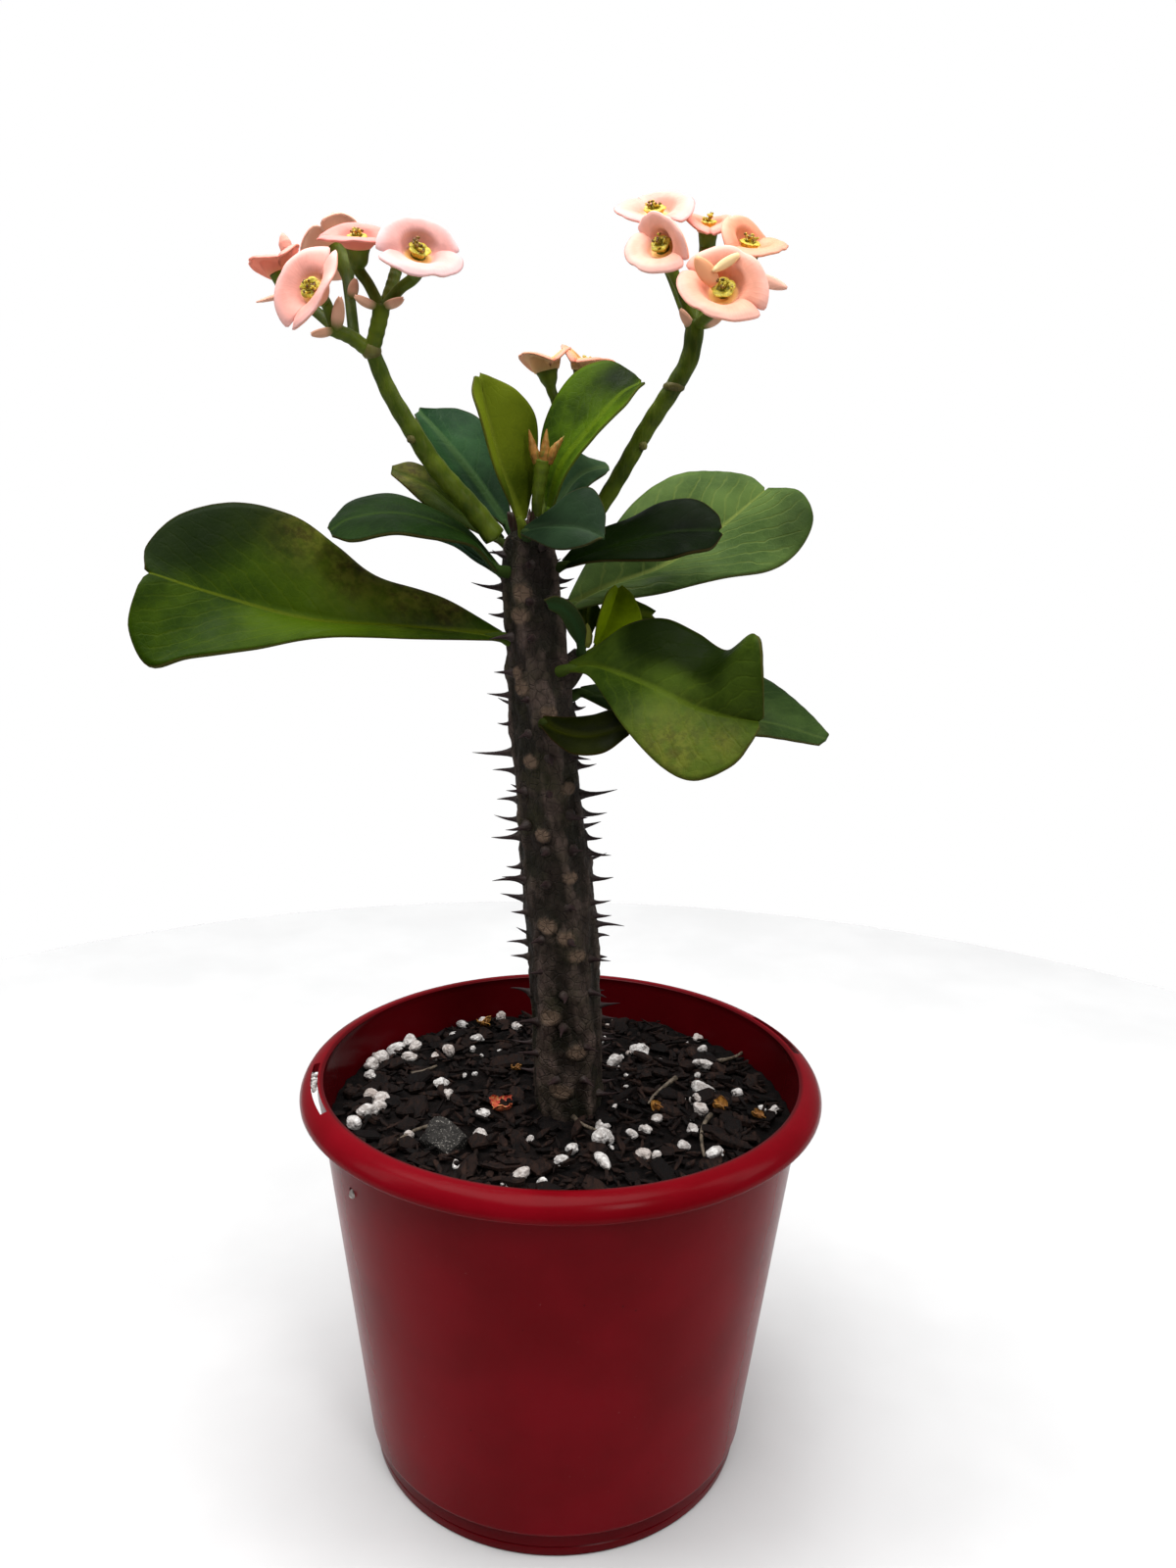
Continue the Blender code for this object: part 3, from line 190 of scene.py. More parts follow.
# Each leaf: rib from base to tip, its two edges, and how far each half bulges
LEAVES = {
    "leaf_low_left_large": (
        [(-17, -3, 226), (-38, -10, 228), (-61, -17, 230), (-82, -22, 236), (-96, -26, 241)],
        [(-17, -2, 227), (-32, -2, 235), (-48, -4, 240), (-57, -6, 247), (-67, -8, 254), (-80, -10, 257),
         (-92, -15, 254), (-98, -21, 247), (-97, -26, 242)],
        [(-17, -4, 225), (-35, -14, 226), (-56, -25, 227), (-71, -33, 225), (-85, -36, 223),
         (-94, -36, 221), (-99, -33, 229), (-98, -30, 237), (-97, -27, 240)],
        1.5,
    ),
    "leaf_left_dark": (
        [(-18, -5, 243), (-27, -8, 251), (-40, -12, 255), (-51, -15, 254), (-56, -18, 251)],
        [(-18, -4, 244), (-26, 0, 252), (-36, 3, 257), (-45, 4, 260), (-54, 0, 258), (-57, -8, 254),
         (-57, -16, 252)],
        [(-18, -6, 242), (-23, -14, 248), (-32, -22, 250), (-40, -26, 251), (-49, -26, 249), (-55, -21, 250)],
        1.0,
    ),
    "leaf_back_left": (
        [(-16, 4, 253), (-25, 9, 265), (-34, 14, 275), (-40, 18, 281)],
        [(-17, 3, 253), (-26, 5, 260), (-35, 8, 271), (-39, 12, 277), (-41, 17, 280)],
        [(-15, 5, 254), (-18, 12, 267), (-23, 19, 278), (-30, 24, 282), (-37, 22, 282), (-40, 19, 282)],
        1.0,
    ),
    "leaf_small_left": (
        [(-17, 3, 249), (-28, 6, 256), (-36, 8, 262), (-46, 10, 266)],
        [(-17, 4, 250), (-26, 8, 261), (-34, 11, 265), (-41, 13, 268), (-46, 11, 267)],
        [(-17, 2, 248), (-28, 3, 253), (-36, 4, 257), (-42, 6, 262), (-46, 9, 265)],
        0.6,
    ),
    "leaf_hidden_left": (
        [(-17, 3, 241), (-25, 10, 245), (-32, 18, 249), (-39, 24, 250)],
        [(-17, 4, 242), (-24, 12, 248), (-32, 20, 252), (-39, 25, 251)],
        [(-17, 2, 241), (-23, 6, 243), (-30, 14, 247), (-38, 22, 249)],
        0.6,
    ),
    "leaf_young_left": (
        [(-12, -7, 254), (-17, -9, 266), (-20, -10, 277), (-22, -9, 287)],
        [(-13, -7, 254), (-18, -13, 266), (-21, -16, 277), (-23, -15, 283), (-23, -11, 287)],
        [(-11, -5, 255), (-9, -3, 267), (-9, -4, 278), (-13, -8, 284), (-19, -9, 287), (-22, -8, 288)],
        -0.8,
    ),
    "leaf_young_right": (
        [(-6, -4, 256), (-3, -5, 267), (4, -5, 276), (11, -4, 284), (16, -3, 287)],
        [(-6, -3, 257), (-8, 3, 271), (-6, 6, 281), (0, 8, 290), (8, 7, 293), (14, 3, 290), (16, -2, 288)],
        [(-5, -5, 256), (-1, -10, 266), (6, -12, 275), (12, -11, 281), (15, -8, 285), (17, -4, 287)],
        0.8,
    ),
    "leaf_front_bluish": (
        [(-11, -9, 252), (-5, -14, 253), (2, -20, 253), (8, -25, 251)],
        [(-11, -8, 253), (-5, -10, 257), (0, -13, 261), (5, -16, 262), (8, -20, 257), (8, -24, 252)],
        [(-12, -9, 251), (-9, -15, 250), (-3, -21, 248), (3, -25, 249), (7, -26, 251)],
        -0.8,
    ),
    "leaf_back_bluish": (
        [(-5, 2, 254), (-1, 5, 262), (3, 8, 266), (9, 11, 268)],
        [(-6, 3, 254), (-5, 9, 265), (0, 12, 271), (4, 13, 270), (8, 13, 269)],
        [(-4, 1, 254), (0, 1, 258), (4, 3, 263), (8, 7, 266), (9, 10, 267)],
        -0.6,
    ),
    "leaf_right_dark": (
        [(-2, -3, 244), (12, -7, 249), (24, -10, 252), (35, -13, 253)],
        [(-2, -2, 245), (4, -1, 251), (14, 1, 255), (22, 2, 259), (30, -1, 260), (35, -7, 257),
         (36, -12, 254)],
        [(-1, -4, 243), (6, -11, 245), (21, -19, 246), (28, -22, 248), (33, -20, 249), (36, -14, 252)],
        -1.0,
    ),
    "leaf_right_pale": (
        [(-1, 4, 233), (10, 10, 238), (24, 16, 243), (39, 22, 253), (51, 27, 263)],
        [(-1, 5, 234), (4, 14, 244), (11, 22, 253), (18, 29, 261), (28, 33, 267), (39, 34, 268),
         (47, 31, 267), (51, 28, 264)],
        [(0, 3, 232), (12, 4, 235), (24, 6, 237), (39, 8, 241), (51, 11, 243), (59, 15, 248), (63, 19, 256),
         (60, 24, 263), (52, 27, 264)],
        -1.5,
    ),
    "leaf_shoot_upright": (
        [(7, -4, 224), (9, -3, 229), (11, -1, 235), (12, 1, 238)],
        [(6, -4, 225), (7, -5, 231), (9, -3, 237), (11, 1, 239)],
        [(8, -5, 224), (14, -6, 226), (18, -4, 230), (16, -1, 236), (13, 1, 239)],
        -0.4,
    ),
    "leaf_shoot_behind": (
        [(7, 2, 222), (11, 5, 228), (16, 7, 231), (21, 8, 231)],
        [(6, 3, 223), (10, 6, 231), (14, 8, 235), (18, 9, 234), (22, 9, 232)],
        [(8, 1, 222), (14, 3, 224), (20, 4, 226), (23, 7, 229)],
        -0.4,
    ),
    "leaf_shoot_arched": (
        [(3, -6, 225), (2, -10, 230), (-1, -13, 234), (-5, -14, 235)],
        [(4, -6, 225), (4, -11, 230), (1, -14, 235), (-3, -15, 237), (-6, -15, 236)],
        [(2, -6, 225), (0, -9, 228), (-2, -12, 232), (-5, -13, 234)],
        0.4,
    ),
    "leaf_shoot_pale": (
        [(3, 3.4, 222), (4, 7, 227), (4, 9, 231), (5, 11, 234)],
        [(2, 3.4, 222), (1, 7, 228), (1, 9, 232), (4, 11, 235)],
        [(4, 3.4, 222), (6, 6, 227), (8, 8, 231), (6, 10, 235)],
        -0.4,
    ),
    "leaf_front_large": (
        [(0, -7, 219), (7, -13, 220), (19, -23, 217), (31, -33, 213), (43, -41, 212)],
        [(0, -6, 220), (5, -8, 223), (14, -12, 230), (23, -16, 232), (31, -20, 229), (37, -27, 226),
         (42, -39, 231), (43, -44, 223), (44, -42, 213)],
        [(0, -8, 218), (5, -15, 218), (9, -24, 214), (14, -33, 208), (22, -40, 201), (29, -44, 199),
         (37, -46, 203), (41, -45, 208), (43, -43, 211)],
        -1.2,
    ),
    "leaf_right_behind": (
        [(3, 0, 212), (17, -3, 210), (35, -5, 207), (50, -8, 206), (64, -12, 203)],
        [(3, 1, 213), (15, 8, 214), (31, 12, 217), (44, 12, 217), (53, 8, 214), (61, -1, 208),
         (65, -10, 204)],
        [(3, -1, 211), (17, -8, 206), (34, -13, 204), (48, -15, 204), (62, -14, 202)],
        -1.0,
    ),
    "leaf_small_lower": (
        [(-6, -10, 206), (-1, -15, 204), (6, -19, 204), (15, -21, 207)],
        [(-6, -9, 207), (0, -11, 207), (6, -13, 208), (12, -15, 210), (16, -19, 209)],
        [(-7, -10, 205), (-3, -17, 202), (2, -22, 200), (9, -24, 201), (15, -22, 205)],
        -0.6,
    ),
}
# Painted light and shade on a leaf, lighter where it is lit and darker where it lies in shade: middle, reach,
# strength
PAINTED_LIGHT_AND_SHADE = {
    "leaf_low_left_large": (
        ((-95, -18, 252), 16, -0.9), ((-79, -8, 257), 13, -0.55), ((-66, -8, 256), 9, -0.5),
        ((-90, -33, 226), 14, 0.15), ((-54, -14, 231), 15, 1.0), ((-73, -26, 228), 10, 0.3),
        ((-30, -5, 233), 9, -0.6), ((-50, -6, 244), 6, -0.4),
    ),
    "leaf_front_large": (
        ((20, -16, 229), 10, -1.0), ((30, -20, 229), 8, -0.9), ((33, -27, 221), 6, -0.8),
        ((40, -31, 226), 6, -0.8), ((24, -34, 210), 9, 0.7), ((30, -42, 204), 9, 0.7),
        ((22, -27, 214), 5, 0.5), ((40, -40, 219), 5, -0.3), ((6, -11, 221), 5, 0.3),
        ((10, -20, 214), 5, -0.2),
    ),
    "leaf_right_pale": (
        ((31, 14, 241), 12, -0.4), ((59, 22, 254), 10, -0.75), ((43, 24, 255), 10, 0.35),
    ),
    "leaf_right_behind": (
        ((30, -6, 210), 14, -0.7), ((57, -10, 205), 6, 0.3),
    ),
    "leaf_right_dark": (
        ((10, -9, 247), 9, 0.3), ((30, -12, 254), 9, -0.6),
    ),
    "leaf_left_dark": (
        ((-47, -10, 254), 9, 0.3), ((-28, -8, 250), 8, -0.6),
    ),
    "leaf_back_left": (
        ((-22, 8, 262), 9, -0.6), ((-34, 16, 278), 8, 0.3),
    ),
    "leaf_young_right": (
        ((11, 3, 288), 8, -0.8), ((1, 4, 279), 9, -0.35), ((-6, 2, 268), 7, -0.4),
        ((-2, -9, 264), 4.5, 1.0), ((3, -11, 271), 4.5, 1.0), ((8, -11.5, 277), 4, 0.9),
    ),
    "leaf_young_left": (
        ((-12, -5, 262), 9, -0.5), ((-21, -14, 279), 8, 1.0), ((-20, -14, 268), 5, 1.0),
        ((-15, -8, 284), 6, 0.6),
    ),
    "leaf_small_lower": (
        ((2, -16, 205), 8, -0.5), ((12, -20, 204), 5, 0.5),
    ),
    "leaf_front_bluish": (
        ((4, -22, 252), 6, 0.4), ((-6, -12, 254), 6, -0.6),
    ),
}
# Rows of points along a leaf, and columns on each side of its rib
LEAF_ROWS = 80
LEAF_HALF = 14
# Side veins: spacing, and how far they lean and curve towards the tip
VEIN_SPACING = 5.6
VEIN_LEAN = 0.62
VEIN_CURVE = 0.012
# Look of each leaf: slot, deep green, light green, rib colour, strength of the veins, and waviness in
# millimetres. The plain look is for the leaves that aren't in the table.
PLAIN_LOOK = ("leaf_green", (0.014, 0.028, 0.002), (0.05, 0.08, 0.005), (0.1, 0.13, 0.01), 0.4, 0.3)
# The greens of some leaves carry painted light and shade besides their own colour, as marked below.
LEAF_LOOKS = {
    "leaf_low_left_large": ("leaf_green", (0.0099, 0.0247, 0.0007), (0.0337, 0.06084, 0.0015),
        (0.0792, 0.103, 0.003), 0.4, 0.5),
    "leaf_left_dark": ("leaf_dark", (0.0048, 0.01408, 0.0021), (0.012, 0.03098, 0.0042),
        (0.024, 0.0495, 0.006), 0.3, 0.3),
    "leaf_back_left": ("leaf_dark", (0.00728, 0.02415, 0.00924), (0.0182, 0.05313, 0.01694),
        (0.0416, 0.08694, 0.02464), 0.3, 0.2),
    "leaf_small_left": ("leaf_green", (0.0096, 0.01836, 0.00176), (0.0264, 0.04241, 0.00528),
        (0.0352, 0.05357, 0.00704), 0.2, 0.1),
    "leaf_hidden_left": ("leaf_green", (0.006, 0.0225, 0.01), (0.015, 0.05, 0.02),
        (0.03, 0.065, 0.024), 0.2, 0.1),
    "leaf_young_left": ("leaf_young", (0.0399, 0.06278, 0.0032), (0.09928, 0.1279, 0.00603),
        (0.1254, 0.1535, 0.01206), 0.2, 0.15),
    "leaf_young_right": ("leaf_young", (0.0062, 0.0185, 0.0002), (0.062, 0.115, 0.003),
        (0.08, 0.13, 0.003), 0.3, 0.15),
    "leaf_front_bluish": ("leaf_dark", (0.00492, 0.01263, 0.00516), (0.01547, 0.0323, 0.01404),
        (0.0221, 0.0418, 0.01755), 0.2, 0.15),
    "leaf_back_bluish": ("leaf_dark", (0.01872, 0.0495, 0.02016), (0.054, 0.108, 0.0462),
        (0.0864, 0.144, 0.0528), 0.2, 0.1),
    # Painted shade: very dark greens for a leaf that lies in shade.
    "leaf_right_dark": ("leaf_dark", (0.0011, 0.00375, 0.00018), (0.0031, 0.0085, 0.00042),
        (0.0056, 0.0136, 0.00072), 0.3, 0.3),
    # Painted light: pale greens that stand in for light shining through the leaf from behind.
    "leaf_right_pale": ("leaf_green", (0.0363, 0.06916, 0.01584), (0.0847, 0.1383, 0.03168),
        (0.1815, 0.2234, 0.04752), 0.9, 0.4),
    "leaf_shoot_upright": ("leaf_young", (0.0576, 0.0945, 0.00048), (0.1344, 0.1914, 0.00072),
        (0.1344, 0.198, 0.0018), 0.1, 0.1),
    "leaf_shoot_arched": ("leaf_dark", (0.005, 0.0175, 0.0056), (0.0125, 0.035, 0.012),
        (0.02, 0.05, 0.016), 0.1, 0.1),
    "leaf_front_large": ("leaf_green", (0.01008, 0.0225, 0.001), (0.0405, 0.0672, 0.00616),
        (0.0594, 0.0896, 0.00525), 0.6, 0.3),
    "leaf_right_behind": ("leaf_green", (0.0096, 0.02167, 0.00468), (0.0264, 0.04845, 0.01053),
        (0.0384, 0.0612, 0.01404), 0.6, 0.4),
    # Painted shade: very dark greens for a leaf that lies in shade under the large front leaf.
    "leaf_small_lower": ("leaf_green", (0.0031, 0.00475, 0.00015), (0.0105, 0.01344, 0.00036),
        (0.0168, 0.02016, 0.00072), 0.2, 0.2),
}
# Discoloured places on a leaf: middle, reach, strength
BLOTCHES = {
    "leaf_low_left_large": (((-50, -5, 243), 9, 0.8), ((-40, -4, 238), 8, 0.7), ((-62, -8, 250), 8, 0.5),
                            ((-30, -3, 233), 5, 0.5)),
    "leaf_front_large": (((24, -38, 205), 9, 0.5), ((35, -42, 207), 5, 0.4)),
    "leaf_right_behind": (((40, -12, 205), 6, 0.4),),
    "leaf_small_left": (((-42, 9, 265), 6, 0.6),),
}

# Flower stalks: each branch is its points and the radii at its two ends
STALKS = {
    "stalk_left": (
        (((-18.6, -4.6, 250.3), (-24, -6, 257), (-32, -9, 266), (-37.5, -11.5, 274.5), (-42.5, -14, 283),
          (-45.8, -17, 291.7)), 2.8, 1.8),
        (((-45.8, -17, 291), (-44, -18, 297), (-43, -18.5, 301)), 1.8, 1.9),
        (((-43, -18.5, 300), (-41.5, -16, 305), (-40.5, -14, 309)), 1.2, 1.4),
        (((-45.8, -17, 291), (-50, -18.5, 294), (-54, -20, 295.5)), 1.7, 1.6),
    ),
    "stalk_right": (
        (((-2.4, 5.6, 250), (1, 6, 253.5), (7, 6, 258), (18, 6, 277), (25, 4, 288), (28, 3, 294),
          (29, 2, 302)), 2.0, 2.3),
    ),
    "stalk_middle": (
        (((-8.5, 8.6, 250), (-7, 10, 257), (-6, 15, 272), (-4, 18, 282)), 1.5, 1.6),
    ),
    "stalk_buds": (
        (((-8.5, -4.6, 255.8), (-8, -7, 261), (-7, -8, 268.6)), 1.25, 2.0),
        (((-8.2, -8, 268), (-9.2, -8.5, 271), (-10.3, -8.5, 275.4)), 1.3, 0.3),
        (((-6.8, -8.6, 268), (-6.4, -9, 271.4), (-6.1, -9, 275.6)), 1.35, 0.3),
        (((-5.7, -8, 268), (-4.4, -9, 270.8), (-1.9, -9, 274.1)), 1.3, 0.3),
    ),
}
# How light and yellow each stalk is
STALK_YOUTH = {"stalk_left": 0.4, "stalk_right": 0.1, "stalk_middle": 0.6, "stalk_buds": 0.3}
# Rings and small knobs on the stalks: stalk, place, radius, height
STALK_KNOTS = (
    ("stalk_right", (24.4, 4.2, 287), 2.75, 1.1),
    ("stalk_left", (-45.8, -17, 291.4), 2.3, 1.6),
    ("stalk_right", (17.2, 4.8, 273), 1.2, 0.9),
    ("stalk_left", (-37.6, -12.8, 272.5), 1.1, 0.8),
)
FUNNEL_LENGTH = 5.0
FUNNEL_RADIUS = 2.9
# Scales at the forks: foot, tip, half width
BRACTEOLES = {
    "stalk_left": (
        ((-42.5, -19, 300.6), (-37.8, -22, 301.4), 1.2), ((-44, -19, 300.4), (-48.4, -22.5, 301.6), 1.25),
        ((-53, -20.5, 295.2), (-51, -26, 301), 1.45), ((-53.5, -20.5, 295.2), (-57.8, -23, 293.4), 1.3),
        ((-50.2, -17, 302.6), (-48.7, -19.5, 306), 1.2),
    ),
    "stalk_right": (
        ((28.5, 1.5, 300), (24.8, -0.5, 304), 1.2), ((30.5, 0, 300.5), (35, -3, 302), 1.2),
    ),
}
# Loose rolled bracts: foot, tip, half width, colour, paler colour
LOOSE_BRACTS = {
    "loose_bract_cream": ((36.6, -16, 313.6), (31, -17.8, 309.8), 1.1, (0.86, 0.62, 0.32), (0.9, 0.58, 0.42)),
    "loose_bract_orange": ((31.8, -15.6, 307.4), (27, -17.6, 312.6), 2.0, (0.88, 0.4, 0.2), (0.9, 0.5, 0.3)),
    "loose_bract_right": ((41, -4, 311.4), (49.3, -6, 308.6), 1.5, (0.92, 0.5, 0.38), (0.93, 0.6, 0.5)),
    "loose_bract_left": ((-60, -19, 304), (-70.8, -20.5, 300.8), 0.7, (0.8, 0.42, 0.3), (0.86, 0.55, 0.42)),
}

# Blooms: stalk, where the bloom's own branch leaves it, middle, facing, direction of the first bract,
# bract length, and the lift of each bract in degrees
BLOOMS = {
    "bloom_left_top": ("stalk_left", (-43.4, -18.5, 300.5), (-48, -19.6, 313.2), (0.05, -0.42, 0.9),
                       (0, -1, 0), 8.8, (14, 12)),
    "bloom_left_front": ("stalk_left", (-53.5, -20, 295.5), (-56.2, -27, 302.2), (-0.22, -0.93, 0.24),
                         (-0.86, 0, 0.48), 9.6, (0, 36)),
    "bloom_left_inner": ("stalk_left", (-42.6, -18.5, 300.5), (-34.2, -23.6, 310.3), (0.3, -0.62, 0.72),
                         (0.4, -0.5, -0.75), 9.9, (2, 34)),
    "bloom_left_outer": ("stalk_left", (-52.5, -19.5, 295), (-67.8, -9.6, 309.2), (-0.35, 0, 0.93),
                         (-1, -0.3, 0), 8.2, (26, 26)),
    "bloom_left_back": ("stalk_left", (-49.5, -18, 294), (-55.5, -6, 314.5), (-0.5, 0.5, 0.7),
                        (0.4, -0.5, -0.75), 9.0, (4, 10)),
    "bloom_right_left": ("stalk_right", (28.6, 2, 301), (20.4, -3.4, 316.8), (-0.38, -0.72, 0.55),
                         (-0.7, -0.2, -0.6), 9.5, (6, 54)),
    "bloom_right_top": ("stalk_right", (28.2, 3, 300), (18.8, 10.5, 327), (-0.1, -0.5, 0.85),
                        (-0.9, -0.5, 0), 10.8, (6, 10)),
    "bloom_right_front": ("stalk_right", (29.2, 1.5, 301), (33.8, -13.8, 305.8), (-0.12, -0.86, 0.5),
                          (-0.6, -0.3, -0.75), 11.0, (14, 24)),
    "bloom_right_back": ("stalk_right", (29.4, 2.5, 301), (41, 4, 318.4), (0.15, -0.45, 0.88),
                         (0.75, -0.5, 0), 10.2, (10, 34)),
    "bloom_right_middle": ("stalk_right", (29, 3, 300.5), (32, 12.5, 324.6), (0, -0.4, 0.92),
                           (1, 0, 0), 7.6, (20, 20)),
    "bloom_young_left": ("stalk_middle", (-4, 18, 281), (-7.3, 18, 291.8), (-0.25, -0.02, 0.96),
                         (-1, -0.3, 0), 9.0, (34, 22)),
    "bloom_young_right": ("stalk_middle", (-4, 18, 281), (2.2, 19, 291.8), (0.22, -0.02, 0.97),
                          (1, -0.3, 0), 9.3, (22, 28)),
}
# Factors on the red, green and blue of a bloom's bracts: each bloom's own tint, and painted light on
# bloom_left_back and bloom_left_inner, which lie in shade
BLOOM_TINTS_AND_PAINTED_LIGHT = {
    "bloom_left_top": (0.94, 0.66, 0.66), "bloom_left_inner": (1.0, 1.15, 1.25),
    "bloom_left_outer": (1.0, 0.7, 0.65), "bloom_left_back": (1.04, 1.3, 1.3),
    "bloom_right_left": (1.0, 1.0, 1.05), "bloom_right_top": (1.0, 0.88, 1.0),
    "bloom_right_front": (0.96, 0.86, 0.84), "bloom_right_back": (0.92, 0.72, 0.6),
    "bloom_right_middle": (1.0, 0.75, 0.75),
}
# Bract colours on each stalk: face, rim, throat, under side
BRACT_COLOURS = {
    "stalk_left": ((0.92, 0.4, 0.33), (0.93, 0.5, 0.45), (0.92, 0.55, 0.16), (0.92, 0.33, 0.17)),
    "stalk_right": ((0.92, 0.44, 0.31), (0.93, 0.52, 0.43), (0.95, 0.62, 0.18), (0.93, 0.38, 0.16)),
    "stalk_middle": ((0.82, 0.45, 0.18), (0.82, 0.3, 0.22), (0.5, 0.5, 0.08), (0.74, 0.4, 0.18)),
}
# The cup in a bloom's throat: share of its width, height
CUP_PROFILE = (
    (0.25, 0.3), (0.62, 0.5), (0.8, 1.0), (0.92, 1.7), (0.88, 1.95), (0.7, 1.9), (0.5, 1.5), (0.1, 1.3),
)
CUP_SIDES = 40
GLANDS = 5
STAMENS = 13

BRACT_THICKNESS = 0.6
BRACT_CUP = 1.9
CREASE_SPREAD = 0.45  # least share of its reach that a lifted bract keeps from the crease
CLEFT_WIDTH = 10  # degrees over which the two bracts part at the edge
CENTRE_WIDTH = 0.22
# Closed blooms and the side shoot's bud: foot, tip, radius
CLOSED_BLOOMS = {
    "bud_left_back": ((-41, -12, 309.8), (-40.5, -10.5, 316), 1.9),
    "bud_left_outer": ((-68.5, 1, 315), (-70, 2.5, 320), 1.6),
    "bud_left_high": ((-57, -2, 319.5), (-57, -1, 324), 1.7),
}
SHOOT_BUD = ((4.4, -2.2, 223.4), (4.4, -1.6, 229.5), 1.5)

# The camera's axes
FORWARD = Vector((0, math.cos(CAMERA_PITCH), -math.sin(CAMERA_PITCH)))
LEVEL_UP = Vector((0, math.sin(CAMERA_PITCH), math.cos(CAMERA_PITCH)))
RIGHT = Vector((1, 0, 0)) * math.cos(CAMERA_ROLL) - LEVEL_UP * math.sin(CAMERA_ROLL)
UP = Vector((1, 0, 0)) * math.sin(CAMERA_ROLL) + LEVEL_UP * math.cos(CAMERA_ROLL)


# Meshes

def mesh_object(name, points, faces, slots=None, values=None, smooth=True):
    """An object from points in millimetres. slots are the faces' materials, and values are extra numbers
    for each point, by name."""
    mesh = bpy.data.meshes.new(name)
    mesh.from_pydata((np.asarray(points, float) * MM).tolist(), [], [tuple(map(int, f)) for f in faces])
    if slots is not None:
        mesh.polygons.foreach_set("material_index", np.asarray(slots, np.int32))
    for key, numbers in (values or {}).items():
        numbers = np.asarray(numbers, np.float32)
        kind = "FLOAT" if numbers.ndim == 1 else "FLOAT_VECTOR"
        layer = mesh.attributes.new(key, kind, "POINT")
        layer.data.foreach_set("value" if kind == "FLOAT" else "vector", numbers.ravel())
    mesh.validate()
    if smooth:
        mesh.shade_smooth()
    obj = bpy.data.objects.new(name, mesh)
    bpy.context.scene.collection.objects.link(obj)
    return obj


class Lump:
    """Gathers many small shapes into one mesh, with numbers for each point."""

    def __init__(self):
        self.points, self.faces, self.values, self.size = [], [], {}, 0

    def add(self, points, faces, **values):
        self.points.append(points)
        self.faces += [tuple(int(i) + self.size for i in face) for face in faces]
        for key, number in values.items():
            filled = np.broadcast_to(np.asarray(number, float), (len(points),))
            self.values.setdefault(key, []).append(filled)
        self.size += len(points)

    def build(self, name, smooth=True):
        values = {key: np.concatenate(parts) for key, parts in self.values.items()}
        points = np.concatenate(self.points)
        return mesh_object(name, points, self.faces, values=values, smooth=smooth)


def spline(points, count):
    """Evenly spaced points along a smooth curve through the given ones."""
    points = np.array(points, float)
    padded = np.vstack([2 * points[0] - points[1], points, 2 * points[-1] - points[-2]])
    dense = []
    for p0, p1, p2, p3 in zip(padded, padded[1:], padded[2:], padded[3:]):
        for t in np.linspace(0, 1, 12, endpoint=False):
            bend = (2 * p0 - 5 * p1 + 4 * p2 - p3) * t**2 + (3 * p1 - p0 - 3 * p2 + p3) * t**3
            dense.append(p1 + ((p2 - p0) * t + bend) / 2)
    dense = np.array([*dense, points[-1]])
    steps = np.linalg.norm(np.diff(dense, axis=0), axis=1)
    along = np.concatenate([[0], np.cumsum(steps)])
    wanted = np.linspace(0, along[-1], count)
    return np.column_stack([np.interp(wanted, along, dense[:, axis]) for axis in range(3)])


def swirl(points, size, seed):
    """Smooth numbers of about -1 to 1 that vary over the given size."""
    draw = np.random.default_rng(seed)
    points = np.asarray(points, float)
    total = np.zeros(points.shape[:-1])
    for _ in range(8):
        direction = draw.normal(size=3)
        direction *= 2 * math.pi / (size * draw.uniform(0.7, 1.6) * np.linalg.norm(direction))
        total += np.sin(points @ direction + draw.uniform(0, 2 * math.pi))
    return total / 4


def smoothstep(low, high, value):
    """0 up to low and 1 from high on, with a smooth rise between."""
    share = np.clip((value - low) / (high - low), 0, 1)
    return share * share * (3 - 2 * share)


def bell(value, width):
    """1 at zero, fading out past the width."""
    return np.exp(-((value / width) ** 2))


def unit(vectors):
    """Each vector at length 1."""
    return vectors / (np.linalg.norm(vectors, axis=-1, keepdims=True) + 1e-12)


def circle(sides):
    """Angles at even steps round a circle."""
    return np.arange(sides) * 2 * math.pi / sides


def polar(radius, angle):
    """The x and y of a place at a radius and an angle."""
    return radius * math.cos(angle), radius * math.sin(angle)


def ring(radius, angles, height):
    """Points round the Z axis at a height."""
    return np.column_stack([radius * np.cos(angles), radius * np.sin(angles), np.full(len(angles), height)])


def tube_points(path, radii, sides):
    """Rings of points round a path, with a point at each end, and the faces between them."""
    path = np.asarray(path, float)
    radii = np.asarray(radii, float)
    ahead = unit(np.gradient(path, axis=0))
    helper = np.array([0.0, 0, 1]) if abs(ahead[0][2]) < 0.9 else np.array([0.0, 1, 0])
    angles = circle(sides)[:, None]
    rings = []
    for place, direction, radius in zip(path, ahead, radii):
        first = unit(np.cross(direction, helper))
        second = np.cross(direction, first)
        helper = np.cross(first, direction)
        rings.append(place + radius * (np.cos(angles) * first + np.sin(angles) * second))
    start = path[:1] - ahead[:1] * radii[0] * 0.3
    end = path[-1:] + ahead[-1:] * radii[-1] * 0.5
    return np.concatenate([*rings, start, end]), capped_faces(len(path), sides)


def grid_faces(rows, columns, closed=False):
    """Quads between rows of points, with the last column joined to the first if closed."""
    faces = []
    for i in range(rows - 1):
        for j in range(columns if closed else columns - 1):
            k = (j + 1) % columns
            faces.append((i * columns + j, i * columns + k, (i + 1) * columns + k, (i + 1) * columns + j))
    return faces


def capped_faces(rows, sides):
    """Faces of a closed tube of rows of points, whose two end points come after the last row."""
    faces = grid_faces(rows, sides, closed=True)
    start, last = rows * sides, (rows - 1) * sides
    for side in range(sides):
        following = (side + 1) % sides
        faces.append((start, following, side))
        faces.append((start + 1, last + side, last + following))
    return faces


